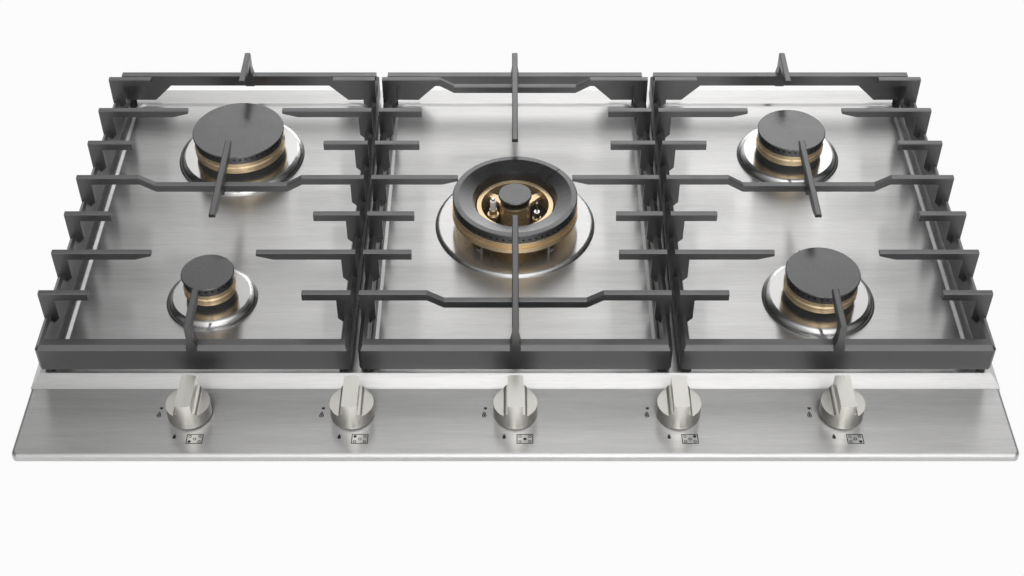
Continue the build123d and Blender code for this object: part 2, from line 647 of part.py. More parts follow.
front_legs = [Rot(0, 0, -side * LEG_ANGLE) * wok_leg(side) for side in (1, -1)]
rear_legs = [mirror(leg, Plane.XZ) for leg in front_legs]
save(Pos(0, WOK_Y) * Compound(front_legs + rear_legs), "wok_legs")


# ---- Electrodes, sensors, jets ------------------------------------------------------------------------
def stack(base, z, steps):
    """The base with round steps of (radius, height) above it, one on another from z."""
    for radius, height in steps:
        base += post(radius, z, z + height)
        z += height
    return base


def plugs(x, z):
    """Electrode and sensor about their own axes; the middle burner's are larger."""
    stem = post(PLUG_STEM_R, z - PLUG_STEM_L, z)
    if x:
        nut = stem + hex_bar(PLUG_HEX, z, z + PLUG_HEX_H)
        spark = stack(nut, z + PLUG_HEX_H, [(CERAMIC_R, CERAMIC_H), (TIP_R, TIP_H)])
        return spark, stack(nut, z + PLUG_HEX_H, [(SENSOR_R, SENSOR_H)])
    spark = stack(stem, z, [
        (WOK_PLUG_BASE_R, WOK_PLUG_BASE_H), (WOK_PLUG_FLANGE_R, WOK_PLUG_FLANGE_H),
        (WOK_PLUG_COLLAR_R, WOK_PLUG_COLLAR_H), (WOK_CERAMIC_R, WOK_CERAMIC_H), (WOK_TIP_R, WOK_TIP_H)])
    sensor = stack(stem, z, [
        (WOK_SENSOR_BASE_R, WOK_SENSOR_BASE_H), (WOK_SENSOR_NUT_R, WOK_SENSOR_NUT_H), (SENSOR_R, WOK_SENSOR_H)])
    top = z + WOK_SENSOR_BASE_H + WOK_SENSOR_NUT_H + WOK_SENSOR_H
    return spark, sensor + Pos(0, 0, top) * Sphere(WOK_SENSOR_BEAD_R)


electrodes = []
sensors = []
for x, y, dx, z in plug_places():
    spark, sensor = plugs(x, z)
    electrodes.append(Pos(x - dx, y) * spark)
    sensors.append(Pos(x + dx, y) * sensor)
save(Compound(electrodes), "spark_electrodes")
save(Compound(sensors), "flame_sensors")

jet = post(JET_R, BOSS_Z - CUP_DEPTH - CUP_WALL, BOSS_Z - CUP_DEPTH + JET_H)
places = [(x, WOK_Y + y) for x, y, cap_r in BURNERS.values()] + [(0.0, WOK_Y)]
save(Compound([Pos(x, y) * jet for x, y in places]), "jets")


# ---- Pan supports ----------------------------------------------------------------------------------------
def ease_top(bar, along):
    """Chamfer the long top edges of a bar."""
    tops = [f for f in bar.faces() if f.normal_at().Z > 0.3]
    edges = [e for f in tops for e in f.edges() if abs((e @ 1 - e @ 0).normalized().dot(along)) > 0.5]
    return chamfer(edges, FINGER_EASE)


def in_xz(points):
    """Bar of finger thickness from its side view, seen from the front."""
    return extrude(Plane.XZ * make_face(Polyline(*points, close=True)), FINGER_T / 2, both=True)


def in_yz(points):
    """Bar of finger thickness from its side view, seen from the right."""
    return extrude(Plane.YZ * make_face(Polyline(*points, close=True)), FINGER_T / 2, both=True)


def side_finger(reach, tip_h):
    """Pan finger to the right of the middle, with the upright that carries it."""
    outer = GRID_W / 2
    inner = outer - UPRIGHT_W
    under = FINGER_TOP - FINGER_H
    foot = FRAME_TOP - UPRIGHT_DEPTH
    points = [
        (reach, FINGER_TOP), (outer, FINGER_TOP), (outer, foot), (inner + UPRIGHT_EASE, foot),
        (inner, foot + UPRIGHT_EASE), (inner, under)]
    if tip_h < FINGER_H:
        points.append((reach + TIP_TAPER, under))
    points.append((reach, FINGER_TOP - tip_h))
    return ease_top(in_xz(points), Vector(1, 0, 0))


def full_bar():
    """Bar from side to side, lowered in the middle to clear the pan's centre."""
    outer = GRID_W / 2
    inner = outer - UPRIGHT_W
    under = FINGER_TOP - FINGER_H
    foot = FRAME_TOP - UPRIGHT_DEPTH
    top = [(outer, FINGER_TOP), (DIP_HALF_W + DIP_SLOPE, FINGER_TOP), (DIP_HALF_W, FINGER_TOP - DIP)]
    bottom = [
        (DIP_HALF_W, under - DIP), (DIP_HALF_W + DIP_SLOPE, under), (inner, under),
        (inner, foot + UPRIGHT_EASE), (inner + UPRIGHT_EASE, foot), (outer, foot)]
    left = [(-x, z) for x, z in reversed(bottom)]
    points = top + [(-x, z) for x, z in reversed(top)] + left + bottom
    return ease_top(in_xz(points), Vector(1, 0, 0))


def spine(y_root, y_tip, tip_h):
    """Finger along the middle; its root is square and its tip tapers from below."""
    turn = TIP_TAPER if y_root < y_tip else -TIP_TAPER
    points = [
        (y_root, FINGER_TOP), (y_tip, FINGER_TOP), (y_tip, FINGER_TOP - tip_h), (y_tip - turn, FINGER_TOP - FINGER_H),
        (y_root, FINGER_TOP - FINGER_H)]
    return ease_top(in_yz(points), Vector(0, 1, 0))


def spine_post(y0, y1, z0):
    """Post that carries a spine on the front or rear wall, wider at its foot."""
    bar = block(-FINGER_T / 2, FINGER_T / 2, y0, y1, z0, FINGER_TOP - FINGER_H / 2)
    foot_top = FRAME_TOP + POST_FOOT_W
    low = Pos(0, (y0 + y1) / 2) * Rectangle(POST_FOOT_W, y1 - y0)
    high = Pos(0, (y0 + y1) / 2) * Rectangle(FINGER_T, y1 - y0)
    foot = block(-POST_FOOT_W / 2, POST_FOOT_W / 2, y0, y1, z0, FRAME_TOP)
    return bar + foot + frustum(low, high, FRAME_TOP, foot_top)


def hub(y):
    """Block that joins a spine to the lowered bar that it crosses."""
    low = FINGER_TOP - DIP - FINGER_H
    return block(-FINGER_T / 2, FINGER_T / 2, y - HUB_W / 2, y + HUB_W / 2, low, FINGER_TOP - FINGER_H / 2)


def grid_frame():
    """Rectangular frame: front wall, side rails and an arched rear wall."""
    half = GRID_W / 2
    y0 = FRONT + GRID_FRONT
    y1 = y0 + GRID_D
    frame = block(-half, half, y0, y1, GRID_Z, FRAME_TOP)
    frame = chamfer(frame.edges().filter_by(Axis.Z), CORNER_EASE)
    frame = chamfer(frame.edges().group_by(Axis.Z)[-1], FRAME_EASE)
    rear = block(
        -half + CORNER_EASE, half - CORNER_EASE, y1 - WALL_T, y1 - FRAME_EASE, FRAME_TOP - FRAME_EASE,
        FRAME_TOP + REAR_EXTRA)
    frame -= block(
        -half + RAIL_T, half - RAIL_T, y0 + WALL_T, y1 - WALL_T, GRID_Z - FRAME_H, FRAME_TOP + FRAME_H)
    top = ARCH_TOP_W / 2
    base = GRID_Z - FOOT_H
    slope = ARCH_SLOPE * (ARCH_H + FOOT_H) / ARCH_H
    arch = make_face(Polyline(
        (-top - slope, base), (-top, GRID_Z + ARCH_H), (top, GRID_Z + ARCH_H), (top + slope, base), close=True))
    arch = Pos(0, y1 - WALL_T / 2, 0) * extrude(Plane.XZ * arch, WALL_T, both=True)
    return frame + rear - arch


def pan_support(middle):
    """One of the three pan supports, built about x = 0; the middle one fits the double ring."""
    front = FRONT + GRID_FRONT
    rear = front + GRID_D
    grid = grid_frame()
    for k in range(-ROWS_EACH_WAY, ROWS_EACH_WAY + 1):
        place = Pos(0, WOK_Y + k * ROW_PITCH)
        full = k in (-ROWS_EACH_WAY, ROWS_EACH_WAY) if middle else k == 0
        if full:
            grid += place * full_bar()
            continue
        if middle:
            reach, tip_h = (WOK_REACH, TIP_H_LONG) if k == 0 else (SHORT_REACH, FINGER_H)
        else:
            reach, tip_h = (LONG_REACH, TIP_H_LONG) if abs(k) == 2 else (SHORT_REACH, FINGER_H)
        finger = side_finger(reach, tip_h)
        grid += place * finger
        grid += place * mirror(finger, Plane.YZ)
    if middle:
        grid += spine(front, WOK_Y - WOK_FRONT_TIP, TIP_H_LONG)
        grid += spine(rear, WOK_Y + WOK_REAR_TIP, TIP_H_LONG)
        grid += hub(WOK_Y - ROWS_EACH_WAY * ROW_PITCH) + hub(WOK_Y + ROWS_EACH_WAY * ROW_PITCH)
    else:
        front_pair = WOK_Y - FRONT_ROW
        rear_pair = WOK_Y + REAR_ROW
        grid += spine(front, front_pair - SPINE_FRONT_TIP, TIP_H_LONG)
        grid += spine(rear, rear_pair + SPINE_REAR_TIP, TIP_H_REAR)
        for end in (front_pair + SPINE_MID_TIP, rear_pair - SPINE_MID_TIP):
            grid += spine(WOK_Y, end, TIP_H_LONG)
        grid += hub(WOK_Y)
    grid += spine_post(front, front + WALL_T, GRID_Z)
    grid += spine_post(rear - WALL_T, rear, GRID_Z + ARCH_H - FINGER_EASE)
    return grid


def grid_feet():
    """Rubber feet under the frame's corners."""
    front = FRONT + GRID_FRONT + WALL_T / 2
    rear = FRONT + GRID_FRONT + GRID_D - WALL_T / 2
    side = GRID_W / 2 - RAIL_T
    places = [(x, y) for x in (-side, side) for y in (front, rear)]
    return Compound([post(FOOT_R, DECK_Z, GRID_Z, x, y) for x, y in places])


for name, x in GRIDS.items():
    save(Pos(x, 0) * pan_support(name == "centre"), name + "_pan_support")
    save(Pos(x, 0) * grid_feet(), name + "_support_feet")


# ---- Knobs, spindles, valves --------------------------------------------------------------------------------
def knob():
    """Knob about its own axis: round base, grip bar from front to rear, scooped wings."""
    z0 = KNOB_Z
    z1 = z0 + KNOB_H
    tip_r = KNOB_R - KNOB_DRAFT
    body = Pos(0, 0, (z0 + z1) / 2) * Cone(KNOB_R, tip_r, KNOB_H)
    root = BAR_W / 2
    wing = z0 + WING_H
    scoop_line = [
        Line((root, z1 + 1), (root, wing + SCOOP_R)),
        RadiusArc((root, wing + SCOOP_R), (root + SCOOP_R, wing), SCOOP_R),
        Line((root + SCOOP_R, wing), (KNOB_R + 1, wing)),
        Line((KNOB_R + 1, wing), (KNOB_R + 1, z1 + 1)),
        Line((KNOB_R + 1, z1 + 1), (root, z1 + 1)),
    ]
    scoop = extrude(Plane.XZ * make_face(Curve() + scoop_line), 2 * KNOB_R, both=True)
    body -= scoop
    body -= mirror(scoop, Plane.YZ)
    body -= block(-NOTCH_W / 2, NOTCH_W / 2, tip_r - NOTCH_L, tip_r + 1, z1 - NOTCH_DEPTH, z1 + 1)
    cavity = post(KNOB_R - KNOB_WALL, z0 - 1, z0 + KNOB_BORE_H)
    hub_foot = PANEL_Z + GROMMET_H + PUSH + GROMMET_GAP
    cavity -= post(HUB_R, hub_foot, z0 + KNOB_BORE_H)
    return body - cavity - spindle_bore()


def spindle_bore():
    """The flatted socket in the knob, the same size as the spindle's end."""
    top = KNOB_Z + SPINDLE_INTO_KNOB
    return d_bar(KNOB_Z - 1, top)


def d_bar(z0, z1):
    bar = post(SPINDLE_R, z0, z1)
    flat = SPINDLE_R - SPINDLE_FLAT
    return bar - block(flat, 2 * SPINDLE_R, -SPINDLE_R, SPINDLE_R, z0, z1)


VALVE_FOOT = RAIL_PIPE_Z + RAIL_PIPE_R + VALVE_SEAT
PLUNGER_Z = VALVE_FOOT + PUSH + BORE_GAP
SPINDLE_Z = PLUNGER_Z + PLUNGER_L


def spindle():
    """Steel spindle: round below the panel, flatted where the knob sits."""
    return post(SPINDLE_R, SPINDLE_Z, PANEL_Z) + d_bar(PANEL_Z, KNOB_Z + SPINDLE_INTO_KNOB)


def valve():
    """Tap on the rail: body, round neck, bore for plunger and spindle, outlet to the rear."""
    body = block(-VALVE_W / 2, VALVE_W / 2, -VALVE_D / 2, VALVE_D / 2, RAIL_PIPE_Z, VALVE_TOP)
    body = chamfer(body.edges().filter_by(Axis.Z), VALVE_EASE)
    body += post(VALVE_NECK_R, VALVE_TOP, PANEL_Z - SHEET - VALVE_NECK_GAP)
    outlet = Pos(0, (VALVE_D + OUTLET_L) / 2, VALVE_TOP - PIPE_DROP) * Rot(90, 0, 0)
    body += outlet * Cylinder(OUTLET_R, OUTLET_L)
    body -= post(SPINDLE_R + BORE_GAP, VALVE_FOOT, PANEL_Z)
    return body - Pos(0, 0, RAIL_PIPE_Z) * Rot(0, 90, 0) * Cylinder(RAIL_PIPE_R, 2 * VALVE_W)


for name, x in KNOBS.items():
    place = Pos(x, KNOB_Y)
    save(place * knob(), name + "_knob")
    save(place * spindle(), name + "_spindle")
    save(place * post(SPINDLE_R, PLUNGER_Z, SPINDLE_Z), name + "_plunger")
    save(place * valve(), name + "_valve")

grommet = post(GROMMET_R, PANEL_Z, PANEL_Z + GROMMET_H) - post(
    SPINDLE_R + GROMMET_GAP, PANEL_Z, PANEL_Z + GROMMET_H)
save(Compound([Pos(x, KNOB_Y) * grommet for x in KNOBS.values()]), "spindle_grommets")


# ---- Gas rail, inlet, burner pipes, igniter ---------------------------------------------------------------------
def round_sweep(path, radius):
    start = Plane(origin=path @ 0, z_dir=path % 0)
    return sweep(start * Circle(radius), path=path)


def gas_rail():
    """Rail under the taps, turned back along the right side to the pocket, on brackets."""
    x0 = -BURNER_PITCH_X - RAIL_PIPE_OVERHANG
    y_end = TRAY_D / 2 - POCKET_D - TRAY_SHEET
    z = RAIL_PIPE_Z
    path = FilletPolyline((x0, KNOB_Y, z), (INLET_X, KNOB_Y, z), (INLET_X, y_end, z), radius=BEND_R)
    rail = round_sweep(path, RAIL_PIPE_R)
    between = (KNOBS["right_rear"] + KNOBS["right_front"]) / 2
    for x in (-between, between):
        rail += block(x - BRACKET_W / 2, x + BRACKET_W / 2, KNOB_Y, KNOB_Y + BRACKET_D, TRAY_SHEET, z)
    return rail


def gas_inlet():
    """Union through the pocket's wall, with its thread towards the rear."""
    y0 = TRAY_D / 2 - POCKET_D - TRAY_SHEET
    turn = Pos(INLET_X, y0, RAIL_PIPE_Z) * Rot(-90, 0, 0)
    neck = post(RAIL_PIPE_R, 0, TRAY_SHEET)
    nut = hex_bar(INLET_HEX, TRAY_SHEET, TRAY_SHEET + INLET_HEX_L)
    stub = post(INLET_R, TRAY_SHEET + INLET_HEX_L, TRAY_SHEET + INLET_HEX_L + INLET_L)
    bore = post(RAIL_PIPE_R - RAIL_PIPE_WALL, 2 * TRAY_SHEET, INLET_HEX_L + 2 * INLET_L)
    return turn * (neck + nut + stub - bore)


save(gas_rail(), "gas_rail")
save(gas_inlet(), "gas_inlet")

pipe_z = VALVE_TOP - PIPE_DROP
pipe_start = KNOB_Y + VALVE_D / 2 + OUTLET_L
pipes = []
for name, x in KNOBS.items():
    if name == "wok":
        end = WOK_Y - WOK_CUP_R
        path = Line((x, pipe_start, pipe_z), (x, end, pipe_z))
    else:
        bx, by, cap_r = BURNERS[name]
        reach = cup_body_r(cap_r)
        if bx == x:
            path = Line((x, pipe_start, pipe_z), (x, WOK_Y + by - reach, pipe_z))
        else:
            end_x = bx + (reach if x > bx else -reach)
            path = FilletPolyline(
                (x, pipe_start, pipe_z), (x, WOK_Y + by, pipe_z), (end_x, WOK_Y + by, pipe_z), radius=PIPE_BEND)
    pipes.append(round_sweep(path, PIPE_R))
save(Compound(pipes), "burner_pipes")

igniter_x = -TRAY_W / 2 + IGNITER_INSET
igniter = block(igniter_x, igniter_x + IGNITER_W, WOK_Y - IGNITER_D / 2, WOK_Y + IGNITER_D / 2, TRAY_SHEET,
                TRAY_SHEET + IGNITER_H)
save(fillet(igniter.edges().filter_by(Axis.Z), IGNITER_EDGE_R), "igniter")
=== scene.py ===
"""Finishes a five-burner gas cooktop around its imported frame.

One operator for each group of like pieces; the sizes and colours a user would change are
scene properties, and the sidebar panel lists everything in the order of assembly.
"""
import math

import bmesh
import bpy
from bpy.props import FloatProperty, FloatVectorProperty, IntProperty, PointerProperty
from mathutils import Matrix, Vector


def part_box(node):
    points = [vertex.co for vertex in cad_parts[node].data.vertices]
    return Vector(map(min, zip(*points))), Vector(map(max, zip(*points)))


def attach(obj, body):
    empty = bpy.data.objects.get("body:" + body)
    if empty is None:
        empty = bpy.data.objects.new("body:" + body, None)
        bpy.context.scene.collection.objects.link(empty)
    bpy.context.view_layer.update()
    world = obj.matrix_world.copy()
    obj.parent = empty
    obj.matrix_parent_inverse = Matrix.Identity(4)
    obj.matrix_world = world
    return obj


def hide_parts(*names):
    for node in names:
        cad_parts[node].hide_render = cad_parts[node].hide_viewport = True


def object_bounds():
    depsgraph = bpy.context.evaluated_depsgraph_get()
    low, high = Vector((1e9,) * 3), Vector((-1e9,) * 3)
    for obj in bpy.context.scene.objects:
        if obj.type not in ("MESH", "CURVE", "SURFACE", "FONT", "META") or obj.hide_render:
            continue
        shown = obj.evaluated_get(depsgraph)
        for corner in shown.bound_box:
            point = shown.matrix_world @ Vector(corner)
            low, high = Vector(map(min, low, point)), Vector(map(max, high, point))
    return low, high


bl_info = {
    "name": "Gas Cooktop",
    "version": (1, 0, 0),
    "blender": (4, 5, 0),
    "location": "3D View > Sidebar > Cooktop",
    "description": "Finishes a five-burner gas cooktop in steel, cast enamel and brass",
    "category": "Object",
}

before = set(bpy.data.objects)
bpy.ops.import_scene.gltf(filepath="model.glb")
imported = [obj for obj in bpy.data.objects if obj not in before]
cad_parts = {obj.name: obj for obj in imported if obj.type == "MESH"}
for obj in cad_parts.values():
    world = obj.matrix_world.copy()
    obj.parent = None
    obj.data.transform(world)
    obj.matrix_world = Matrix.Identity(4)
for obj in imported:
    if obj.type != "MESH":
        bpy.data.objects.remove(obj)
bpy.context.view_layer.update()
MM = 0.001
OUTER_BURNERS = ("left_rear", "right_rear", "right_front", "left_front")
TAPS = ("left_front", "left_rear", "wok", "right_rear", "right_front")
SUPPORTS = ("left", "centre", "right")


# ---- Places taken from the frame -------------------------------------------------------------
def middle(node):
    """Middle of a node's box."""
    low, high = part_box(node)
    return (low + high) / 2


PANEL_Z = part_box("spindle_grommets")[0].z
WOK_AXIS = middle("wok_ring_cap")
WOK_REACH = (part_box("wok_ring_cap")[1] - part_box("wok_ring_cap")[0]).x / 2
FRONT_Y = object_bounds()[0].y
SEAT_FOOT_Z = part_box("left_support_feet")[0].z + 0.4 * MM


# ---- Sizes of the electrodes and sensors -----------------------------------------------------
STEM_L = 14.0 * MM                  # threaded stem below the sheet
STEM_R = 2.4 * MM
NUT_H = 4.0 * MM
NUT_HALF_FLATS = 4.0 * MM
NUT_EASE = 0.4 * MM
ROD_EASE = 0.35 * MM                # upper edges of turned steps
TIP_EASE = 0.2 * MM
WOK_BASE = ((3.6, 6.8), (5.9, 3.0), (4.0, 6.2))     # steps: radius and height in mm
WOK_GLAZE = ((3.1, 10.6),)
WOK_TIP = ((1.85, 2.7),)
WOK_SENSOR_NUT = ((4.5, 5.0),)
WOK_SENSOR_ROD = ((3.2, 7.6), (1.0, 10.5))
OUTER_SEAT = ((3.1, 2.6),)
OUTER_GLAZE_R = 2.6                 # in mm
OUTER_TIP = (0.8, 3.0)              # bare end of an outer electrode, in mm
SENSOR_FOOT = ((2.3, 0.0), (2.5, 1.4), (2.0, 2.8), (1.2, 4.2))   # radius and height over the nut
SENSOR_END = ((1.1, -0.7), (0.6, 0.0))                           # the same, from the rod's end
BEAD_R = 1.3 * MM
BEAD_SEGMENTS, BEAD_RINGS = 16, 10

# ---- Sizes of the signs ----------------------------------------------------------------------
SMALL_FLAME = (-9.8 * MM, 21.4 * MM, 0)     # signs from the knob's axis and the front edge
LARGE_FLAME = (-27.5 * MM, 46.9 * MM, 0)
SPARK = (-26.6 * MM, 54.1 * MM, 0)
PLAN = (8.2 * MM, 18.4 * MM, 0)
SMALL_FLAME_W, SMALL_FLAME_H = 3.2 * MM, 5.8 * MM
LARGE_FLAME_W, LARGE_FLAME_H = 4.2 * MM, 7.0 * MM
LARGE_FLAME_LINE = 0.8 * MM
CORE_W, CORE_H = 1.7 * MM, 3.2 * MM         # filled drop inside the large flame
CORE_DROP = 0.4 * MM
FLAME_FOOT_STEPS = 14                       # faces round the lower half of a flame
FLAME_SIDES = (                             # share of the height, share of the half width
    (0.55, 0.62), (0.8, 0.28), (1.0, 0.0), (0.8, -0.28), (0.55, -0.62))
SPARK_SIZE = 3.6 * MM
SPARK_LINE = 0.8 * MM
SPARK_TURNS = (30, 90, 150)                 # degrees
PLAN_W, PLAN_H = 14.5 * MM, 11.0 * MM
PLAN_LINE = 0.8 * MM
PLAN_SPOTS = {
    "left_front": (-1, -1), "left_rear": (-1, 1), "wok": (0, 0), "right_rear": (1, 1),
    "right_front": (1, -1)}
PLAN_SPOT_R = 1.5 * MM
PLAN_SPOT_X, PLAN_SPOT_Y = 4.3 * MM, 2.9 * MM
PLAN_SPOT_LINE = 0.65 * MM
PLAN_SPOT_STEPS = 16

# ---- Stage values ----------------------------------------------------------------------------
FILM_W = 36.0                       # width of the camera's picture, in mm
FLOOR_HALF = 8.0
FLOOR_GLOW = 0.97                   # brightness that the camera sees
SOFTBOX_PLACE = (0.05, -0.35, 1.7)
SOFTBOX_W, SOFTBOX_D = 1.9, 1.1
SOFTBOX_POWER = 9.0
WHITE = (1, 1, 1, 1)
EVEN_LIGHT = 0.75                   # the world's, on everything that is not a reflection
SKY = (                             # brightness by angle over the rear horizon, in degrees
    (0, 4.0), (10, 3.6), (22, 2.7), (34, 2.6), (41, 1.9), (46, 0.75), (52, 0.25), (57, 0.1),
    (63, 0.05), (88, 0.1), (95, 2.0), (112, 2.0), (122, 1.7), (150, 2.2), (165, 3.6), (180, 4.0))
SKY_SIDES = (                       # share of it by the direction's X
    (-1.0, 0.06), (-0.6, 0.15), (-0.42, 0.3), (-0.3, 0.42), (-0.24, 0.53), (-0.17, 0.72),
    (-0.06, 0.95), (0.05, 1.0), (0.16, 1.0), (0.25, 0.88), (0.3, 0.8), (0.42, 0.6), (0.6, 0.2),
    (1.0, 0.08))
SKY_PEAK = 4.0                      # brightness of a white ramp colour

# ---- Mesh helpers ----------------------------------------------------------------------------
CAD_WELD = 0.004 * MM
SEAM_WELD = 0.002 * MM
FLAT_ANGLE = math.radians(0.5)
SHARP_ANGLE = math.radians(35.0)
SAME_LEVEL = 1e-6


def piece(name, bm, body, material, slot, *stands_for):
    """Object from a bmesh, riding on a body."""
    mesh = bpy.data.meshes.new(name)
    bm.to_mesh(mesh)
    bm.free()
    mesh.materials.append(material)
    obj = bpy.data.objects.new(name, mesh)
    bpy.context.scene.collection.objects.link(obj)
    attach(obj, body)
    if stands_for:
        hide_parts(*stands_for)


def merged_copy(node):
    """A node's shape with its loose triangles joined and its flats made whole."""
    bm = bmesh.new()
    bm.from_mesh(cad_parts[node].data)
    bmesh.ops.remove_doubles(bm, verts=bm.verts, dist=CAD_WELD)
    bmesh.ops.dissolve_limit(
        bm, angle_limit=FLAT_ANGLE, verts=bm.verts, edges=bm.edges, delimit={"NORMAL"})
    return bm


def islands(node):
    """Box of each separate solid in a node, from left to right."""
    bm = merged_copy(node)
    left = set(bm.verts)
    found = []
    while left:
        cluster, edge = set(), [left.pop()]
        while edge:
            vert = edge.pop()
            cluster.add(vert)
            for link in vert.link_edges:
                other = link.other_vert(vert)
                if other in left:
                    left.discard(other)
                    edge.append(other)
        xs, ys, zs = zip(*(v.co for v in cluster))
        found.append((Vector((min(xs), min(ys), min(zs))), Vector((max(xs), max(ys), max(zs)))))
    bm.free()
    return sorted(found, key=lambda b: (b[0].x, b[0].y))


def lathe(bm, profile, x, y, count):
    """Spins (radius, height) points round an upright axis."""
    start = [bm.verts.new((x + r, y, z)) for r, z in profile]
    ring = [bm.edges.new(pair) for pair in zip(start, start[1:])]
    bmesh.ops.spin(
        bm, geom=start + ring, cent=(x, y, 0), axis=(0, 0, 1), dvec=(0, 0, 0),
        angle=2 * math.pi, steps=count, use_merge=True, use_duplicate=False)


def stepped(bm, x, y, z, steps, count, ease=ROD_EASE):
    """Turned rod of (radius, height) steps in mm, each with an eased upper edge; gives its top."""
    profile = [(0, z)]
    for radius, height in steps:
        radius, height = radius * MM, height * MM
        profile += [(radius, z), (radius, z + height - ease), (radius - ease, z + height)]
        z += height
    lathe(bm, profile + [(0, z)], x, y, count)
    return z


def stem(bm, low, high, count):
    """Threaded stem of a plug's box; gives its axis and the height of its top."""
    x, y = (low.x + high.x) / 2, (low.y + high.y) / 2
    top = low.z + STEM_L
    lathe(bm, [(0, low.z), (STEM_R, low.z), (STEM_R, top), (0, top)], x, y, count)
    return x, y, top


def nut(bm, x, y, foot):
    """Six-sided nut with a chamfered rim; gives its top."""
    top = foot + NUT_H
    corner_r = NUT_HALF_FLATS / math.cos(math.pi / 6)
    made = bmesh.ops.create_cone(
        bm, cap_ends=True, segments=6, radius1=corner_r, radius2=corner_r, depth=top - foot,
        matrix=Matrix.Translation((x, y, (foot + top) / 2)))
    rim = {
        edge for vert in made["verts"] for edge in vert.link_edges
        if all(abs(end.co.z - top) < SAME_LEVEL for end in edge.verts)}
    bmesh.ops.bevel(
        bm, geom=list(rim), offset=NUT_EASE, offset_type="OFFSET", segments=1, profile=0.5,
        affect="EDGES", clamp_overlap=True, material=-1)
    return top


def closed(bm):
    """Welds seams and poles, turns faces outwards and marks the sharp edges."""
    bmesh.ops.remove_doubles(bm, verts=bm.verts, dist=SEAM_WELD)
    bmesh.ops.recalc_face_normals(bm, faces=bm.faces)
    for face in bm.faces:
        face.smooth = True
    for edge in bm.edges:
        edge.smooth = len(edge.link_faces) == 2 and edge.calc_face_angle(0.0) < SHARP_ANGLE
    return bm


# ---- Shapes of the signs ---------------------------------------------------------------------
def raise_faces(bm, faces, relief):
    """Gives flat faces the thickness of the print."""
    out = bmesh.ops.extrude_face_region(bm, geom=faces)
    verts = [v for v in out["geom"] if isinstance(v, bmesh.types.BMVert)]
    bmesh.ops.translate(bm, verts=verts, vec=(0, 0, relief))


def filled_mark(bm, points, z, relief):
    """Printed area inside points."""
    raise_faces(bm, [bm.faces.new([bm.verts.new((x, y, z)) for x, y in points])], relief)


def outline_strip(bm, points, z, width, relief):
    """Closed printed line through points, as a raised band."""
    face = bm.faces.new([bm.verts.new((x, y, z)) for x, y in points])
    face.normal_update()
    made = bmesh.ops.inset_region(
        bm, faces=[face], thickness=width, use_even_offset=True, use_boundary=True)
    bmesh.ops.delete(bm, geom=[face], context="FACES_ONLY")
    raise_faces(bm, made["faces"], relief)


def flame(bm, at, width, height, relief, line=None):
    """Drop-shaped flame sign about its middle: filled, or an outline of a line's width."""
    radius = width / 2
    foot = at.y - height / 2 + radius
    points = []
    for i in range(FLAME_FOOT_STEPS + 1):
        turn = math.pi * (1 + i / FLAME_FOOT_STEPS)
        points.append((at.x + radius * math.cos(turn), foot + radius * math.sin(turn)))
    for share, side in FLAME_SIDES:
        points.append((at.x + radius * side, foot + (height - radius) * share))
    if line is None:
        filled_mark(bm, points, at.z, relief)
    else:
        outline_strip(bm, points, at.z, line, relief)


def spark(bm, at, relief):
    """Small star for ignition."""
    centre = Matrix.Translation(at + Vector((0, 0, relief / 2)))
    stroke = Matrix.Diagonal((SPARK_SIZE, SPARK_LINE, relief, 1.0))
    for turn in SPARK_TURNS:
        bmesh.ops.create_cube(
            bm, size=1.0, matrix=centre @ Matrix.Rotation(math.radians(turn), 4, "Z") @ stroke)


def plan_spot(x, y):
    """Points round one burner of the plan."""
    turns = [2 * math.pi * i / PLAN_SPOT_STEPS for i in range(PLAN_SPOT_STEPS)]
    return [(x + PLAN_SPOT_R * math.cos(turn), y + PLAN_SPOT_R * math.sin(turn)) for turn in turns]


def burner_plan(bm, at, tap, relief):
    """Plan of the five burners with this knob's one filled."""
    x0, x1 = at.x - PLAN_W / 2, at.x + PLAN_W / 2
    y0, y1 = at.y - PLAN_H / 2, at.y + PLAN_H / 2
    outline_strip(bm, [(x0, y0), (x1, y0), (x1, y1), (x0, y1)], at.z, PLAN_LINE, relief)
    for name, (across, along) in PLAN_SPOTS.items():
        spot = plan_spot(at.x + across * PLAN_SPOT_X, at.y + along * PLAN_SPOT_Y)
        if name == tap:
            filled_mark(bm, spot, at.z, relief)
        else:
            outline_strip(bm, spot, at.z, PLAN_SPOT_LINE, relief)


# ---- Shader groups ---------------------------------------------------------------------------
MADE = {}


def once(maker):
    """A maker's shader group or material, made at its first use."""
    if maker not in MADE:
        MADE[maker] = maker()
    return MADE[maker]


def new_group(name, inputs, outputs):
    """Empty shader group with named sockets: (name, type, default)."""
    tree = bpy.data.node_groups.new(name, "ShaderNodeTree")
    for label, kind, default in inputs:
        socket = tree.interface.new_socket(label, in_out="INPUT", socket_type=kind)
        socket.default_value = default
    for label, kind in outputs:
        tree.interface.new_socket(label, in_out="OUTPUT", socket_type=kind)
    return tree, tree.nodes.new("NodeGroupInput"), tree.nodes.new("NodeGroupOutput")


def add(tree, kind, **settings):
    """Adds a node; a setting called in_2 is the value of its input socket 2."""
    node = tree.nodes.new(kind)
    for key, value in settings.items():
        if key.startswith("in_"):
            node.inputs[int(key[3:])].default_value = value
        else:
            setattr(node, key, value)
    return node


def noise(tree, **sockets):
    """Adds a noise texture with the values of its named input sockets."""
    node = add(tree, "ShaderNodeTexNoise", noise_dimensions="3D")
    for name, value in sockets.items():
        node.inputs[name].default_value = value
    return node


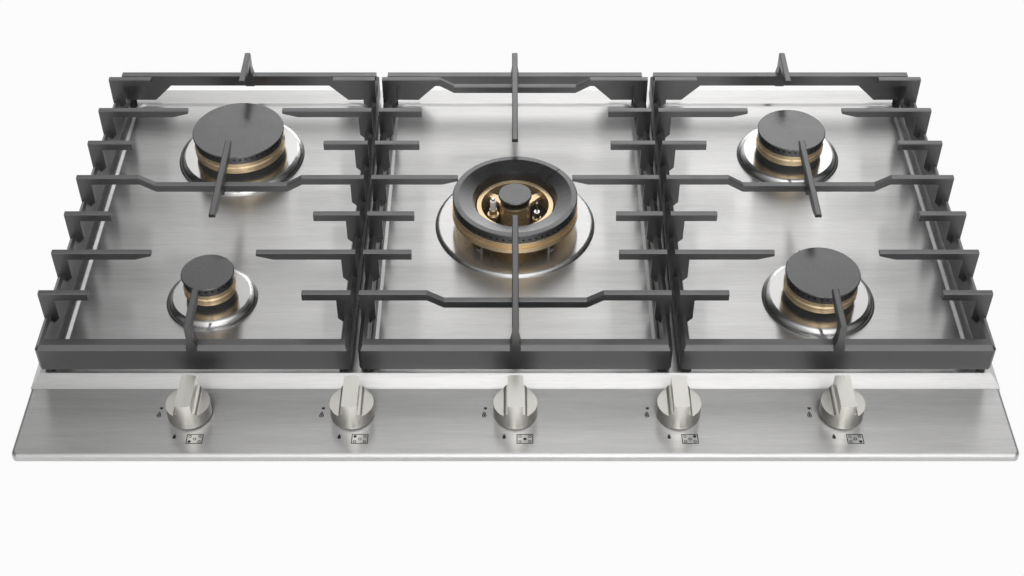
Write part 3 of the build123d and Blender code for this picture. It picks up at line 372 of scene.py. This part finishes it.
def grain_group():
    """Long fine scratches left by a brush or a lathe tool, with a slower unevenness under them."""
    tree, given, made = new_group(
        "metal grain",
        [("Position", "NodeSocketVector", (0, 0, 0)),
         ("Stretch", "NodeSocketVector", (4, 900, 900)),
         ("Unevenness", "NodeSocketFloat", 0.35)],
        [("Streak", "NodeSocketFloat"), ("Height", "NodeSocketFloat")])
    link = tree.links.new
    stretched = add(tree, "ShaderNodeVectorMath", operation="MULTIPLY")
    link(given.outputs["Position"], stretched.inputs[0])
    link(given.outputs["Stretch"], stretched.inputs[1])
    fine = noise(tree, Scale=1.0, Detail=3.0, Roughness=0.75)
    link(stretched.outputs[0], fine.inputs["Vector"])
    slow = noise(tree, Scale=0.16, Detail=2.0)
    link(stretched.outputs[0], slow.inputs["Vector"])
    mix = add(tree, "ShaderNodeMix", data_type="FLOAT")
    link(given.outputs["Unevenness"], mix.inputs[0])
    link(fine.outputs["Fac"], mix.inputs[2])
    link(slow.outputs["Fac"], mix.inputs[3])
    link(mix.outputs[0], made.inputs["Streak"])
    link(fine.outputs["Fac"], made.inputs["Height"])
    return tree


def speckle_group():
    """Fine sand-like texture of matt enamel and cast surfaces."""
    tree, given, made = new_group(
        "enamel speckle",
        [("Position", "NodeSocketVector", (0, 0, 0)),
         ("Grain", "NodeSocketFloat", 1800.0),
         ("Patches", "NodeSocketFloat", 30.0)],
        [("Speck", "NodeSocketFloat"), ("Patch", "NodeSocketFloat"), ("Height", "NodeSocketFloat")])
    link = tree.links.new
    fine = noise(tree, Detail=2.0)
    slow = noise(tree, Detail=3.0)
    for node, size in ((fine, "Grain"), (slow, "Patches")):
        link(given.outputs["Position"], node.inputs["Vector"])
        link(given.outputs[size], node.inputs["Scale"])
    link(fine.outputs["Fac"], made.inputs["Speck"])
    link(slow.outputs["Fac"], made.inputs["Patch"])
    link(fine.outputs["Fac"], made.inputs["Height"])
    return tree


# ---- Finishes --------------------------------------------------------------------------------
NOISE_LOW, NOISE_HIGH = 0.3, 0.7    # span of a noise's common values
PANEL_ROUGH, DECK_ROUGH, SEAT_ROUGH = 0.4, 0.28, 0.17
PANEL_RISE = 1.0 * MM               # heights over which the sheet's finish changes
SEAT_RISE = 2.0 * MM
SEAT_STREAK = 0.5                   # the seats' even tone


class Finish:
    """A material with its Principled shader and the usual helpers."""

    def __init__(self, name, colour, metallic, roughness):
        self.mat = bpy.data.materials.new(name)
        self.mat.use_nodes = True
        self.tree = self.mat.node_tree
        self.shader = self.tree.nodes["Principled BSDF"]
        self.colour = tuple(colour) + (1.0,)
        self.shader.inputs["Base Color"].default_value = self.colour
        self.shader.inputs["Metallic"].default_value = metallic
        self.shader.inputs["Roughness"].default_value = roughness
        self.mat.diffuse_color = self.colour
        self.place = self.tree.nodes.new("ShaderNodeTexCoord")

    def link(self, a, b):
        self.tree.links.new(a, b)

    def use(self, maker, **inputs):
        """Places a shader group on the piece's own coordinates."""
        node = self.tree.nodes.new("ShaderNodeGroup")
        node.node_tree = once(maker)
        self.link(self.place.outputs["Object"], node.inputs["Position"])
        for name, value in inputs.items():
            node.inputs[name].default_value = value
        return node

    def shade(self, factor, darker, lighter):
        """Base colour between two shares of the finish's colour."""
        mix = add(self.tree, "ShaderNodeMix", data_type="RGBA")
        for socket, share in ((6, darker), (7, lighter)):
            mixed = tuple(min(1.0, c * share) for c in self.colour[:3])
            mix.inputs[socket].default_value = mixed + (1.0,)
        self.link(factor, mix.inputs[0])
        self.link(mix.outputs[2], self.shader.inputs["Base Color"])

    def rough(self, factor, low, high):
        """Roughness that follows a noise."""
        ramp = add(
            self.tree, "ShaderNodeMapRange", in_1=NOISE_LOW, in_2=NOISE_HIGH, in_3=low, in_4=high)
        self.link(factor, ramp.inputs[0])
        self.link(ramp.outputs[0], self.shader.inputs["Roughness"])

    def bump(self, height, depth):
        """Fine relief of the surface."""
        node = self.tree.nodes.new("ShaderNodeBump")
        node.inputs["Strength"].default_value = 1.0
        node.inputs["Distance"].default_value = depth
        self.link(height, node.inputs["Height"])
        self.link(node.outputs[0], self.shader.inputs["Normal"])

    def brushed_along(self, amount, tangent):
        """Stretches reflections across the brushing."""
        self.shader.inputs["Anisotropic"].default_value = amount
        across = add(
            self.tree, "ShaderNodeCombineXYZ", in_0=tangent[0], in_1=tangent[1], in_2=tangent[2])
        self.link(across.outputs[0], self.shader.inputs["Tangent"])


def brushed_sheet():
    """Brushed steel, satin on the panel and smoother on the pressed seats above the deck."""
    f = Finish(
        "brushed steel sheet", bpy.context.scene.cooktop_steel.colour, metallic=1.0, roughness=0.3)
    grain = f.use(grain_group, Stretch=(45.0, 760.0, 760.0), Unevenness=0.4)
    split = f.tree.nodes.new("ShaderNodeSeparateXYZ")
    f.link(f.place.outputs["Object"], split.inputs[0])
    seat = add(f.tree, "ShaderNodeMapRange", in_1=SEAT_FOOT_Z, in_2=SEAT_FOOT_Z + SEAT_RISE)
    f.link(split.outputs["Z"], seat.inputs[0])
    panel = add(
        f.tree, "ShaderNodeMapRange", in_1=PANEL_Z, in_2=PANEL_Z + PANEL_RISE, in_3=PANEL_ROUGH,
        in_4=DECK_ROUGH)
    f.link(split.outputs["Z"], panel.inputs[0])
    calm = add(f.tree, "ShaderNodeMix", data_type="FLOAT", in_3=SEAT_STREAK)
    f.link(seat.outputs[0], calm.inputs[0])
    f.link(grain.outputs["Streak"], calm.inputs[2])
    f.shade(calm.outputs[0], darker=0.72, lighter=1.28)
    rough = add(f.tree, "ShaderNodeMix", data_type="FLOAT", in_3=SEAT_ROUGH)
    f.link(seat.outputs[0], rough.inputs[0])
    f.link(panel.outputs[0], rough.inputs[2])
    f.link(rough.outputs[0], f.shader.inputs["Roughness"])
    f.bump(grain.outputs["Height"], depth=0.004 * MM)
    f.brushed_along(0.95, tangent=(0, 1, 0))
    return f.mat


def cast_enamel():
    """Coarser satin enamel of the pan supports."""
    f = Finish(
        "satin cast enamel", bpy.context.scene.cooktop_supports.colour, metallic=0.85,
        roughness=0.36)
    speck = f.use(speckle_group, Grain=2200.0, Patches=40.0)
    f.shade(speck.outputs["Speck"], darker=0.8, lighter=1.2)
    f.rough(speck.outputs["Patch"], low=0.3, high=0.4)
    f.bump(speck.outputs["Height"], depth=0.02 * MM)
    return f.mat


def cap_enamel():
    """Smooth satin enamel of the burner caps."""
    f = Finish(
        "satin cap enamel", bpy.context.scene.cooktop_burners.cap_colour, metallic=0.88,
        roughness=0.26)
    speck = f.use(speckle_group, Grain=3200.0, Patches=60.0)
    f.shade(speck.outputs["Speck"], darker=0.8, lighter=1.2)
    f.rough(speck.outputs["Patch"], low=0.23, high=0.3)
    f.bump(speck.outputs["Height"], depth=0.003 * MM)
    return f.mat


def turned_brass():
    """Brass with the rings of a lathe tool."""
    f = Finish(
        "turned brass", bpy.context.scene.cooktop_burners.brass_colour, metallic=0.75,
        roughness=0.26)
    grain = f.use(grain_group, Stretch=(12.0, 12.0, 2600.0), Unevenness=0.3)
    f.shade(grain.outputs["Streak"], darker=0.86, lighter=1.12)
    f.rough(grain.outputs["Streak"], low=0.2, high=0.32)
    f.bump(grain.outputs["Height"], depth=0.008 * MM)
    return f.mat


def dark_casting():
    """Matt black cups."""
    f = Finish("matt black casting", (0.03, 0.03, 0.03), metallic=0.0, roughness=0.5)
    speck = f.use(speckle_group, Grain=1800.0, Patches=40.0)
    f.shade(speck.outputs["Speck"], darker=0.7, lighter=1.4)
    f.rough(speck.outputs["Patch"], low=0.48, high=0.62)
    f.bump(speck.outputs["Height"], depth=0.03 * MM)
    return f.mat


def satin_nickel():
    """Knobs, brushed from front to back."""
    f = Finish(
        "satin nickel", bpy.context.scene.cooktop_knobs.colour, metallic=1.0, roughness=0.3)
    grain = f.use(grain_group, Stretch=(900.0, 20.0, 900.0), Unevenness=0.3)
    f.shade(grain.outputs["Streak"], darker=0.94, lighter=1.05)
    f.rough(grain.outputs["Streak"], low=0.26, high=0.36)
    f.bump(grain.outputs["Height"], depth=0.004 * MM)
    return f.mat


def bright_steel():
    """Drawn rods, feet and screws."""
    f = Finish("bright steel", (0.72, 0.72, 0.72), metallic=1.0, roughness=0.2)
    grain = f.use(grain_group, Stretch=(60.0, 60.0, 1500.0), Unevenness=0.4)
    f.shade(grain.outputs["Streak"], darker=0.9, lighter=1.1)
    f.rough(grain.outputs["Streak"], low=0.15, high=0.28)
    return f.mat


def glazed_ceramic():
    """White insulators of the electrodes."""
    f = Finish("glazed ceramic", (0.86, 0.85, 0.82), metallic=0.0, roughness=0.15)
    f.shader.inputs["Coat Weight"].default_value = 0.5
    speck = f.use(speckle_group, Grain=900.0, Patches=120.0)
    f.shade(speck.outputs["Patch"], darker=0.95, lighter=1.05)
    return f.mat


def galvanised():
    """Zinc-coated sheet with its crystals."""
    f = Finish("galvanised sheet", (0.50, 0.51, 0.52), metallic=1.0, roughness=0.42)
    cells = f.tree.nodes.new("ShaderNodeTexVoronoi")
    cells.inputs["Scale"].default_value = 90.0
    f.link(f.place.outputs["Object"], cells.inputs["Vector"])
    f.shade(cells.outputs["Distance"], darker=0.85, lighter=1.15)
    f.rough(cells.outputs["Distance"], low=0.34, high=0.5)
    return f.mat


def drawn_aluminium():
    """Pipes, rail and tap bodies."""
    f = Finish("drawn aluminium", (0.66, 0.66, 0.67), metallic=1.0, roughness=0.35)
    grain = f.use(grain_group, Stretch=(300.0, 300.0, 300.0), Unevenness=0.5)
    f.shade(grain.outputs["Streak"], darker=0.88, lighter=1.1)
    f.rough(grain.outputs["Streak"], low=0.3, high=0.45)
    return f.mat


def plain_rubber():
    """Feet, seals and the igniter's case."""
    f = Finish("black rubber", (0.02, 0.02, 0.02), metallic=0.0, roughness=0.75)
    speck = f.use(speckle_group, Grain=1500.0, Patches=80.0)
    f.shade(speck.outputs["Patch"], darker=0.8, lighter=1.3)
    f.bump(speck.outputs["Height"], depth=0.03 * MM)
    return f.mat


def printed_mark():
    """Black print on the panel."""
    f = Finish("printed mark", (0.012, 0.012, 0.012), metallic=0.0, roughness=0.45)
    speck = f.use(speckle_group, Grain=4000.0, Patches=200.0)
    f.shade(speck.outputs["Patch"], darker=0.8, lighter=1.3)
    return f.mat


def dress(material, slot, *nodes):
    """Gives carried-over nodes a better material."""
    for node in nodes:
        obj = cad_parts[node]
        obj.data.materials.clear()
        obj.data.materials.append(material)


def each(names, ending):
    """Node names of a row of like pieces."""
    return [name + ending for name in names]


# ---- Stage -----------------------------------------------------------------------------------
def by_ray(tree, is_ray, otherwise, then):
    """Mixes two shaders: the second for one kind of ray, the first for the rest."""
    mix = tree.nodes.new("ShaderNodeMixShader")
    for value, socket in zip((is_ray, otherwise, then), mix.inputs):
        tree.links.new(value, socket)
    return mix.outputs[0]


def floor_plane():
    """Pale matt floor that is white to the camera."""
    bm = bmesh.new()
    bmesh.ops.create_grid(bm, x_segments=1, y_segments=1, size=FLOOR_HALF)
    mesh = bpy.data.meshes.new("floor")
    bm.to_mesh(mesh)
    bm.free()
    floor = bpy.data.objects.new("floor", mesh)
    bpy.context.scene.collection.objects.link(floor)
    mat = bpy.data.materials.new("stage white")
    mat.use_nodes = True
    tree = mat.node_tree
    shader = tree.nodes["Principled BSDF"]
    shader.inputs["Base Color"].default_value = (0.9, 0.9, 0.9, 1)
    shader.inputs["Roughness"].default_value = 0.9
    shader.inputs["Specular IOR Level"].default_value = 0.0
    glow = tree.nodes.new("ShaderNodeEmission")
    glow.inputs["Strength"].default_value = FLOOR_GLOW
    rays = tree.nodes.new("ShaderNodeLightPath")
    seen = by_ray(tree, rays.outputs["Is Camera Ray"], shader.outputs[0], glow.outputs[0])
    tree.links.new(seen, tree.nodes["Material Output"].inputs[0])
    mesh.materials.append(mat)


def softbox():
    """Large lamp overhead, hidden from reflections."""
    lamp = bpy.data.lights.new("top_softbox", "AREA")
    lamp.shape = "RECTANGLE"
    lamp.size = SOFTBOX_W
    lamp.size_y = SOFTBOX_D
    lamp.energy = SOFTBOX_POWER
    obj = bpy.data.objects.new("top_softbox", lamp)
    obj.location = SOFTBOX_PLACE
    obj.visible_glossy = False
    bpy.context.scene.collection.objects.link(obj)


def grey_ramp(tree, value, stops):
    """Grey ramp through (place from 0 to 1, brightness) stops."""
    node = tree.nodes.new("ShaderNodeValToRGB")
    ramp = node.color_ramp
    ramp.interpolation = "EASE"
    for i, (place, level) in enumerate(stops):
        if 0 < i < len(stops) - 1:
            mark = ramp.elements.new(place)
        else:
            mark = ramp.elements[0 if i == 0 else len(ramp.elements) - 1]
            mark.position = place
        mark.color = (level, level, level, 1)
    tree.links.new(value, node.inputs["Fac"])
    return node.outputs["Color"]


def studio_world(scene):
    """White to the camera; to metal, bright walls, a darker band overhead and lit sides."""
    world = bpy.data.worlds.new("studio")
    scene.world = world
    world.use_nodes = True
    tree = world.node_tree
    tree.nodes.clear()
    link = tree.links.new
    way = tree.nodes.new("ShaderNodeTexCoord")
    split = tree.nodes.new("ShaderNodeSeparateXYZ")
    link(way.outputs["Generated"], split.inputs[0])
    angle = add(tree, "ShaderNodeMath", operation="ARCTAN2")
    link(split.outputs["Z"], angle.inputs[0])
    link(split.outputs["Y"], angle.inputs[1])
    turn = add(tree, "ShaderNodeMath", operation="DIVIDE", in_1=math.pi)
    link(angle.outputs[0], turn.inputs[0])
    side = add(tree, "ShaderNodeMath", operation="MULTIPLY_ADD", in_1=0.5, in_2=0.5)
    link(split.outputs["X"], side.inputs[0])
    by_angle = [(degrees / 180, level / SKY_PEAK) for degrees, level in SKY]
    by_side = [(0.5 + x / 2, level) for x, level in SKY_SIDES]
    sky = add(tree, "ShaderNodeMix", data_type="RGBA", blend_type="MULTIPLY", in_0=1.0)
    link(grey_ramp(tree, turn.outputs[0], by_angle), sky.inputs[6])
    link(grey_ramp(tree, side.outputs[0], by_side), sky.inputs[7])
    studio = add(tree, "ShaderNodeBackground", in_1=SKY_PEAK)
    link(sky.outputs[2], studio.inputs["Color"])
    even = add(tree, "ShaderNodeBackground", in_0=WHITE, in_1=EVEN_LIGHT)
    plain = add(tree, "ShaderNodeBackground", in_0=WHITE, in_1=1.0)
    rays = tree.nodes.new("ShaderNodeLightPath")
    lit = by_ray(tree, rays.outputs["Is Glossy Ray"], even.outputs[0], studio.outputs[0])
    seen = by_ray(tree, rays.outputs["Is Camera Ray"], lit, plain.outputs[0])
    link(seen, tree.nodes.new("ShaderNodeOutputWorld").inputs[0])


# ---- What a user may change ------------------------------------------------------------------
class CooktopSteel(bpy.types.PropertyGroup):
    colour: FloatVectorProperty(
        name="Sheet colour", description="Colour of the brushed top", subtype="COLOR",
        default=(0.62, 0.615, 0.61), min=0.0, max=1.0)


class CooktopBurners(bpy.types.PropertyGroup):
    brass_colour: FloatVectorProperty(
        name="Brass", description="Colour of the burner heads", subtype="COLOR",
        default=(0.78, 0.6, 0.37), min=0.0, max=1.0)
    cap_colour: FloatVectorProperty(
        name="Caps", description="Colour of the enamelled caps", subtype="COLOR",
        default=(0.135, 0.135, 0.137), min=0.0, max=1.0)
    plug_steps: IntProperty(
        name="Plug steps", description="Faces around each electrode and sensor", default=24,
        min=8, max=64)


class CooktopSupports(bpy.types.PropertyGroup):
    colour: FloatVectorProperty(
        name="Enamel", description="Colour of the cast supports", subtype="COLOR",
        default=(0.135, 0.135, 0.137), min=0.0, max=1.0)


class CooktopKnobs(bpy.types.PropertyGroup):
    colour: FloatVectorProperty(
        name="Nickel", description="Colour of the satin knobs", subtype="COLOR",
        default=(0.85, 0.83, 0.78), min=0.0, max=1.0)


class CooktopSigns(bpy.types.PropertyGroup):
    relief: FloatProperty(
        name="Relief", description="Height of the printed marks over the panel",
        subtype="DISTANCE", unit="LENGTH", default=0.04 * MM, min=0.01 * MM, max=0.2 * MM)


class CooktopStage(bpy.types.PropertyGroup):
    lens: FloatProperty(
        name="Lens", description="Focal length on a 36 mm sensor, in millimetres",
        default=52.73, min=20, max=200)
    camera_place: FloatVectorProperty(
        name="Camera", description="Where the camera stands", subtype="XYZ", unit="LENGTH",
        default=(-0.003, -1.101, 1.0475))
    camera_tilt: FloatProperty(
        name="Tilt", description="Camera's turn up from straight down", subtype="ANGLE",
        default=math.radians(46.55))


# ---- Operators, one for each group of pieces -------------------------------------------------
class COOKTOP_OT_stage(bpy.types.Operator):
    """Camera, floor, lamp and world"""
    bl_idname = "cooktop.stage"
    bl_label = "Stage"

    def execute(self, context):
        scene = context.scene
        want = scene.cooktop_stage
        camera = bpy.data.cameras.new("photo_camera")
        camera.lens = want.lens
        camera.sensor_width = FILM_W
        holder = bpy.data.objects.new("photo_camera", camera)
        holder.location = want.camera_place
        holder.rotation_euler = (want.camera_tilt, 0, 0)
        scene.collection.objects.link(holder)
        scene.camera = holder
        floor_plane()
        softbox()
        studio_world(scene)
        scene.view_settings.view_transform = "Standard"
        return {"FINISHED"}


class COOKTOP_OT_sheet_metal(bpy.types.Operator):
    """Pressed top, tray, foam strip and clamps"""
    bl_idname = "cooktop.sheet_metal"
    bl_label = "Top and tray"

    def execute(self, context):
        dress(once(brushed_sheet), "brushed_top", "hob_top")
        dress(once(galvanised), "galvanised_tray", "tray", "hold_down_clamps")
        dress(once(plain_rubber), "foam", "worktop_seal")
        dress(once(bright_steel), "bright_steel", "clamp_screws")
        return {"FINISHED"}


class COOKTOP_OT_gas_parts(bpy.types.Operator):
    """Rail, inlet, pipes, taps, jets and igniter inside the tray"""
    bl_idname = "cooktop.gas_parts"
    bl_label = "Gas parts"

    def execute(self, context):
        dress(once(drawn_aluminium), "pipe_aluminium", "burner_pipes", *each(TAPS, "_valve"))
        dress(once(drawn_aluminium), "rail_steel", "gas_rail")
        dress(once(turned_brass), "brass", "gas_inlet", "jets")
        dress(once(bright_steel), "bright_steel", *each(TAPS, "_plunger"), *each(TAPS, "_spindle"))
        dress(once(plain_rubber), "rubber", "spindle_grommets")
        dress(once(plain_rubber), "igniter_plastic", "igniter")
        return {"FINISHED"}


class COOKTOP_OT_round_burners(bpy.types.Operator):
    """Cups, brass heads and caps of the four round burners"""
    bl_idname = "cooktop.round_burners"
    bl_label = "Round burners"

    def execute(self, context):
        dress(once(dark_casting), "dark_cup", *each(OUTER_BURNERS, "_cup"))
        dress(once(turned_brass), "brass", *each(OUTER_BURNERS, "_head"))
        dress(once(cap_enamel), "cap_enamel", *each(OUTER_BURNERS, "_cap"))
        return {"FINISHED"}


class COOKTOP_OT_middle_burner(bpy.types.Operator):
    """Double-ring burner in the middle"""
    bl_idname = "cooktop.middle_burner"
    bl_label = "Middle burner"

    def execute(self, context):
        dress(once(dark_casting), "dark_cup", "wok_cup")
        dress(once(turned_brass), "brass", "wok_body")
        dress(once(cap_enamel), "cap_enamel", "wok_ring_cap", "wok_centre_cap")
        dress(once(bright_steel), "bright_steel", "wok_legs")
        return {"FINISHED"}


class COOKTOP_OT_plugs(bpy.types.Operator):
    """Spark electrodes and flame sensors beside each burner"""
    bl_idname = "cooktop.plugs"
    bl_label = "Electrodes and sensors"

    def execute(self, context):
        count = context.scene.cooktop_burners.plug_steps
        bases, glaze, tips = bmesh.new(), bmesh.new(), bmesh.new()
        for low, high in islands("spark_electrodes"):
            x, y, foot = stem(bases, low, high, count)
            if abs(y - WOK_AXIS.y) < WOK_REACH:
                shoulder = stepped(bases, x, y, foot, WOK_BASE, count)
                top = stepped(glaze, x, y, shoulder, WOK_GLAZE, count)
                stepped(tips, x, y, top, WOK_TIP, count)
                continue
            seat = stepped(bases, x, y, nut(bases, x, y, foot), OUTER_SEAT, count)
            glaze_h = (high.z - OUTER_TIP[1] * MM - seat) / MM
            top = stepped(glaze, x, y, seat, [(OUTER_GLAZE_R, glaze_h)], count)
            stepped(tips, x, y, top, [OUTER_TIP], count, TIP_EASE)
        nuts, rods = bmesh.new(), bmesh.new()
        for low, high in islands("flame_sensors"):
            x, y, foot = stem(nuts, low, high, count)
            if abs(y - WOK_AXIS.y) < WOK_REACH:
                shoulder = stepped(nuts, x, y, foot, WOK_SENSOR_NUT, count)
                top = stepped(rods, x, y, shoulder, WOK_SENSOR_ROD, count)
                bmesh.ops.create_uvsphere(
                    rods, u_segments=BEAD_SEGMENTS, v_segments=BEAD_RINGS, radius=BEAD_R,
                    matrix=Matrix.Translation((x, y, top)))
                continue
            shoulder = nut(nuts, x, y, foot)
            profile = [(r * MM, shoulder + h * MM) for r, h in SENSOR_FOOT]
            profile += [(r * MM, high.z + h * MM) for r, h in SENSOR_END]
            lathe(rods, [(0, shoulder), *profile, (0, high.z)], x, y, count)
        brass, bright, ceramic = once(turned_brass), once(bright_steel), once(glazed_ceramic)
        piece("electrode_bases", closed(bases), "hob", brass, "brass", "spark_electrodes")
        piece("electrode_ceramics", closed(glaze), "hob", ceramic, "ceramic", "spark_electrodes")
        piece("electrode_tips", closed(tips), "hob", bright, "bright_steel", "spark_electrodes")
        piece("sensor_nuts", closed(nuts), "hob", brass, "brass", "flame_sensors")
        piece("sensor_rods", closed(rods), "hob", bright, "bright_steel", "flame_sensors")
        return {"FINISHED"}


class COOKTOP_OT_pan_supports(bpy.types.Operator):
    """Three cast pan supports and their rubber feet"""
    bl_idname = "cooktop.pan_supports"
    bl_label = "Pan supports"

    def execute(self, context):
        dress(once(cast_enamel), "grid_enamel", *each(SUPPORTS, "_pan_support"))
        dress(once(plain_rubber), "rubber", *each(SUPPORTS, "_support_feet"))
        return {"FINISHED"}


class COOKTOP_OT_knobs(bpy.types.Operator):
    """Five push-and-turn knobs"""
    bl_idname = "cooktop.knobs"
    bl_label = "Knobs"

    def execute(self, context):
        dress(once(satin_nickel), "knob_nickel", *each(TAPS, "_knob"))
        return {"FINISHED"}


class COOKTOP_OT_signs(bpy.types.Operator):
    """Printed flame signs and the burner plan beside each knob"""
    bl_idname = "cooktop.signs"
    bl_label = "Signs"

    def execute(self, context):
        relief = context.scene.cooktop_signs.relief
        bm = bmesh.new()
        for tap in TAPS:
            at = Vector((middle(tap + "_knob").x, FRONT_Y, PANEL_Z))
            large = at + Vector(LARGE_FLAME)
            core = large - Vector((0, CORE_DROP, 0))
            flame(bm, at + Vector(SMALL_FLAME), SMALL_FLAME_W, SMALL_FLAME_H, relief)
            flame(bm, large, LARGE_FLAME_W, LARGE_FLAME_H, relief, LARGE_FLAME_LINE)
            flame(bm, core, CORE_W, CORE_H, relief)
            spark(bm, at + Vector(SPARK), relief)
            burner_plan(bm, at + Vector(PLAN), tap, relief)
        piece("panel_signs", closed(bm), "hob", once(printed_mark), "rubber")
        return {"FINISHED"}


OPERATORS = (
    COOKTOP_OT_stage, COOKTOP_OT_sheet_metal, COOKTOP_OT_gas_parts, COOKTOP_OT_round_burners,
    COOKTOP_OT_middle_burner, COOKTOP_OT_plugs, COOKTOP_OT_pan_supports, COOKTOP_OT_knobs,
    COOKTOP_OT_signs)
SETTINGS = {
    "cooktop_steel": CooktopSteel, "cooktop_burners": CooktopBurners,
    "cooktop_supports": CooktopSupports, "cooktop_knobs": CooktopKnobs,
    "cooktop_signs": CooktopSigns, "cooktop_stage": CooktopStage}


class COOKTOP_PT_sidebar(bpy.types.Panel):
    """Lists the cooktop's pieces and settings"""
    bl_label = "Gas Cooktop"
    bl_idname = "COOKTOP_PT_sidebar"
    bl_space_type = "VIEW_3D"
    bl_region_type = "UI"
    bl_category = "Cooktop"

    def draw(self, context):
        for operator in OPERATORS:
            self.layout.operator(operator.bl_idname)
        for name, kind in SETTINGS.items():
            box = self.layout.box()
            for setting in kind.__annotations__:
                box.prop(getattr(context.scene, name), setting)


def register():
    for kind in (*SETTINGS.values(), *OPERATORS, COOKTOP_PT_sidebar):
        bpy.utils.register_class(kind)
    for name, kind in SETTINGS.items():
        setattr(bpy.types.Scene, name, PointerProperty(type=kind))


def unregister():
    for name in SETTINGS:
        delattr(bpy.types.Scene, name)
    for kind in (COOKTOP_PT_sidebar, *reversed(OPERATORS), *reversed(SETTINGS.values())):
        bpy.utils.unregister_class(kind)


def main():
    register()
    for operator in OPERATORS:
        step = getattr(bpy.ops.cooktop, operator.bl_idname.split(".")[1])
        step()


if __name__ == "__main__":
    main()
